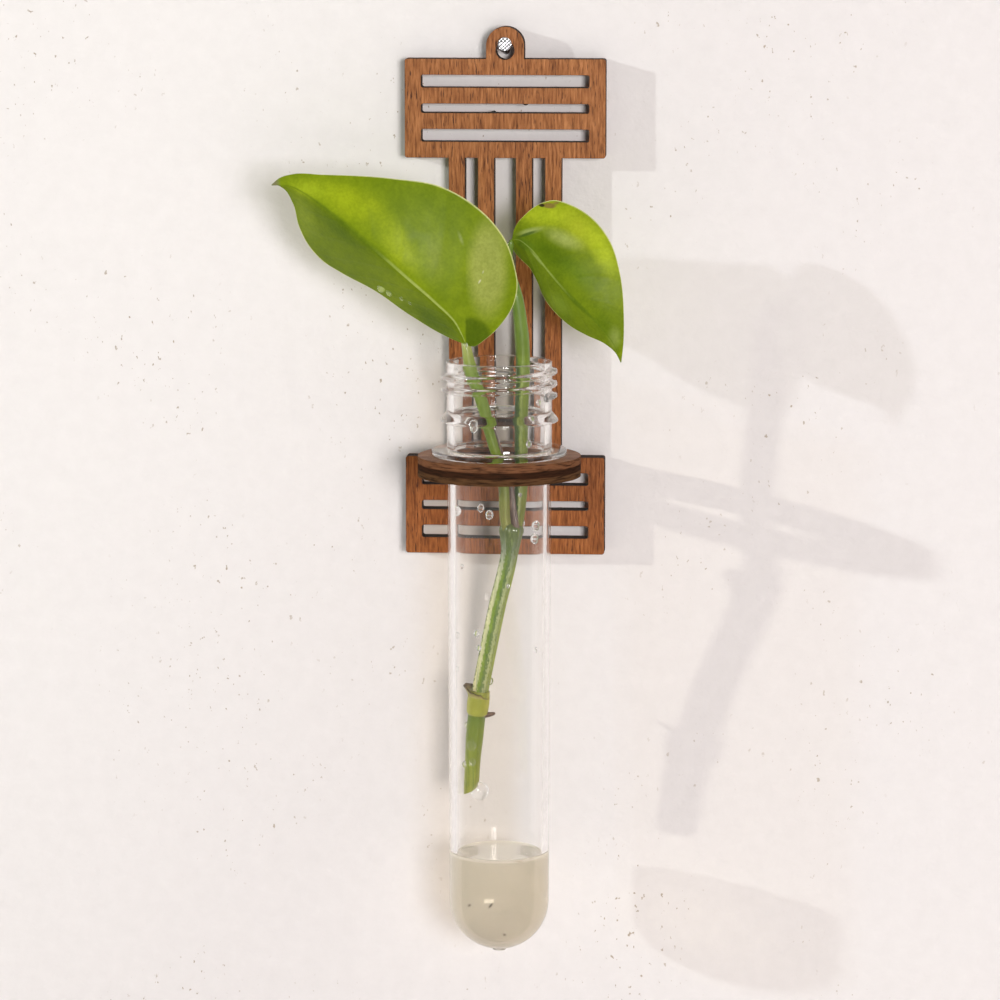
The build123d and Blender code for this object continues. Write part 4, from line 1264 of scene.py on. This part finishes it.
# Wall, floor and light: the vase hangs on a pale plastered wall, which shows only from the front,
# above a plain pale floor. A soft lamp stands in front to the right and one behind, and low
# sunlight from the left throws the long shadow.
WALL_GAP = 0.0004          # clear of the plate's back
FLOOR_DROP = 0.12          # below the tube
STAGE_HALF = 3.0
WALL_TOP = 2.0
NEAR_WALL = 0.14           # half width of the painted light falloff, and how far to each side the tube shows the wall as it is
FAR_WALL = 0.4
PAINTED_WALL_LIGHT = [(0.0, (1.0, 1.0, 1.0)), (0.3, (0.955, 0.95, 0.955)), (0.75, (0.885, 0.87, 0.88))]


def quad(name, corners, material):
    """One flat stage sheet."""
    mesh = bpy.data.meshes.new(name)
    mesh.from_pydata(corners, [], [(0, 1, 2, 3)])
    mesh.materials.append(material)
    sheet = bpy.data.objects.new(name, mesh)
    bpy.context.scene.collection.objects.link(sheet)


def plaster():
    """Pale plaster for the wall, clear from behind and to the rays that look for a lamp.

    Away from the vase the wall glows at a fixed paleness in what the tube mirrors and bends: a painted
    reflection. Its colour is painted paler at the top left and darker to the right: a painted light falloff.
    """
    material, tree, shader = new_finish("pale_plaster")
    rough = noise(tree, object_place(tree), 220.0, 5.0, 0.6)
    coat = ramp(tree, rough, [(0.3, (0.87, 0.835, 0.82)), (0.7, (0.9, 0.865, 0.85))])
    pits = noise(tree, object_place(tree, (900.0, 900.0, 650.0)), 1.0, 2.0)
    where = noise(tree, object_place(tree), 22.0, 2.0)
    pits = times(tree, rescale(tree, pits, 0.69, 0.75), rescale(tree, where, 0.45, 0.62))
    here = node(tree, "TexCoord").outputs["Object"]
    across = axis_of(tree, here, 0)
    slant = maths(tree, "SUBTRACT", across, times(tree, axis_of(tree, here, 2), 0.5))
    # Painted light falloff: the wall is painted paler at the top left and darker to the right.
    coat = tint(tree, coat, rescale(tree, slant, -NEAR_WALL, NEAR_WALL), PAINTED_WALL_LIGHT)
    coat = mix(tree, pits, coat, (0.46, 0.38, 0.31))
    feed(tree, shader, {"Base Color": coat, "Roughness": 0.9, "Specular IOR Level": 0.1})
    relief(tree, shader, rough, 0.7, 0.5)
    rays = node(tree, "LightPath").outputs
    bent = maths(tree, "MAXIMUM", rays["Is Glossy Ray"], rays["Is Transmission Ray"])
    far = rescale(tree, maths(tree, "ABSOLUTE", across), NEAR_WALL, FAR_WALL)
    # Painted reflection: far from the vase the wall glows at a fixed paleness in what the tube mirrors and
    # bends.
    painted_glow = node(tree, "Emission", {"Color": (0.8, 0.765, 0.745, 1)})
    behind = node(tree, "NewGeometry").outputs["Backfacing"]
    clear = maths(tree, "MAXIMUM", behind, rays["Is Shadow Ray"])
    surface(tree, shader, (times(tree, bent, far), painted_glow), (clear, node(tree, "BsdfTransparent")))
    return material


def pale_floor():
    """Plain pale floor that glows in what the tube bends and, more faintly, in what it mirrors: painted
    reflections, so that no lit patch of it veils the cutting.
    """
    material, tree, shader = new_finish("pale_floor")
    rough = noise(tree, object_place(tree), 60.0, 4.0)
    tone = ramp(tree, rough, [(0.3, (0.82, 0.79, 0.77)), (0.7, (0.86, 0.83, 0.81))])
    feed(tree, shader, {"Base Color": tone, "Roughness": 0.8})
    rays = node(tree, "LightPath").outputs
    # Painted reflections: the floor glows in what the tube bends, and more faintly in what it mirrors.
    painted_glow = node(tree, "Emission", {"Color": (0.78, 0.75, 0.73, 1)})
    dim_painted_glow = node(tree, "Emission", {"Color": (0.36, 0.35, 0.34, 1)})
    surface(tree, shader, (rays["Is Transmission Ray"], painted_glow), (rays["Is Glossy Ray"], dim_painted_glow))
    return material


floor_z = cad_box[0][2] - FLOOR_DROP
ends = ((-STAGE_HALF, STAGE_HALF), (STAGE_HALF, -STAGE_HALF))
quad("stage_wall",
     [(x, WALL_GAP, z) for pair, z in zip(ends, (floor_z, WALL_TOP)) for x in pair], plaster())
quad("stage_floor",
     [(x, y, floor_z) for pair, y in zip(ends, (-STAGE_HALF, STAGE_HALF)) for x in pair], pale_floor())


def stand(name, data, place, way):
    """Puts a lamp or the camera at a place, looking a given way."""
    made = bpy.data.objects.new(name, data)
    made.location = place
    made.rotation_mode = "QUATERNION"
    made.rotation_quaternion = way.to_track_quat("-Z", "Y")
    bpy.context.scene.collection.objects.link(made)
    return made


def lamp(name, kind, place, way, energy, colour, **settings):
    """A soft lamp or distant sunlight."""
    data = bpy.data.lights.new(name, kind)
    data.energy = energy
    data.color = colour
    for key, value in settings.items():
        setattr(data, key, value)
    stand(name, data, place, way)


CENTRE = Vector((0.0, -0.0245, -0.105))
KEY_PLACE = Vector((0.58, -1.72, 0.1))
BACK_PLACE = Vector((0.0, 1.7, -0.1))
SUN_WAY = Vector((71.0, 31.3, -20.0))
lamp("key_lamp", "AREA", KEY_PLACE, CENTRE - KEY_PLACE, 22.0, (1.0, 0.98, 0.97), shape="SQUARE", size=0.45)
lamp("back_lamp", "AREA", BACK_PLACE, CENTRE - BACK_PLACE, 9.0, (1, 1, 1), shape="SQUARE", size=0.6)
lamp("window_light", "SUN", (0, 0, 0), SUN_WAY, 1.25, (0.93, 1.0, 0.97), angle=np.radians(1.2))

world = bpy.data.worlds.new("pale_room")
bpy.context.scene.world = world
world.use_nodes = True
sky = world.node_tree
light = sky.nodes["Background"]
feed(sky, light, {"Color": (1.0, 0.96, 0.92, 1), "Strength": 0.13})
pale = node(sky, "Background", {"Color": (0.93, 0.91, 0.89, 1)})
through = node(sky, "Background", {"Color": (0.84, 0.81, 0.79, 1)})
sideways = maths(sky, "ABSOLUTE", axis_of(sky, node(sky, "TexCoord").outputs["Generated"], 0))
walls = ramp(sky, sideways, [(0.3, (0.26, 0.255, 0.25)), (0.9, (0.78, 0.76, 0.74))])
room = node(sky, "Background", {"Color": walls})
rays = node(sky, "LightPath").outputs
surface(sky, light, (rays["Is Camera Ray"], pale), (rays["Is Transmission Ray"], through),
        (rays["Is Glossy Ray"], room), output="World Output")

# Camera: a long lens, a little above the ring and a little to the right of the vase.
LENS_ANGLE = 12.31
CAMERA_PLACE = Vector((0.0760, -1.1088, 0.05706))
CAMERA_AIM = Vector((0.00011, -0.0235, -0.10517))
camera_data = bpy.data.cameras.new("camera")
camera_data.angle = np.radians(LENS_ANGLE)
bpy.context.scene.camera = stand("camera", camera_data, CAMERA_PLACE, CAMERA_AIM - CAMERA_PLACE)
bpy.context.scene.view_settings.view_transform = "Standard"
for bounces in ("max_bounces", "glossy_bounces", "transmission_bounces"):
    setattr(bpy.context.scene.cycles, bounces, 64)
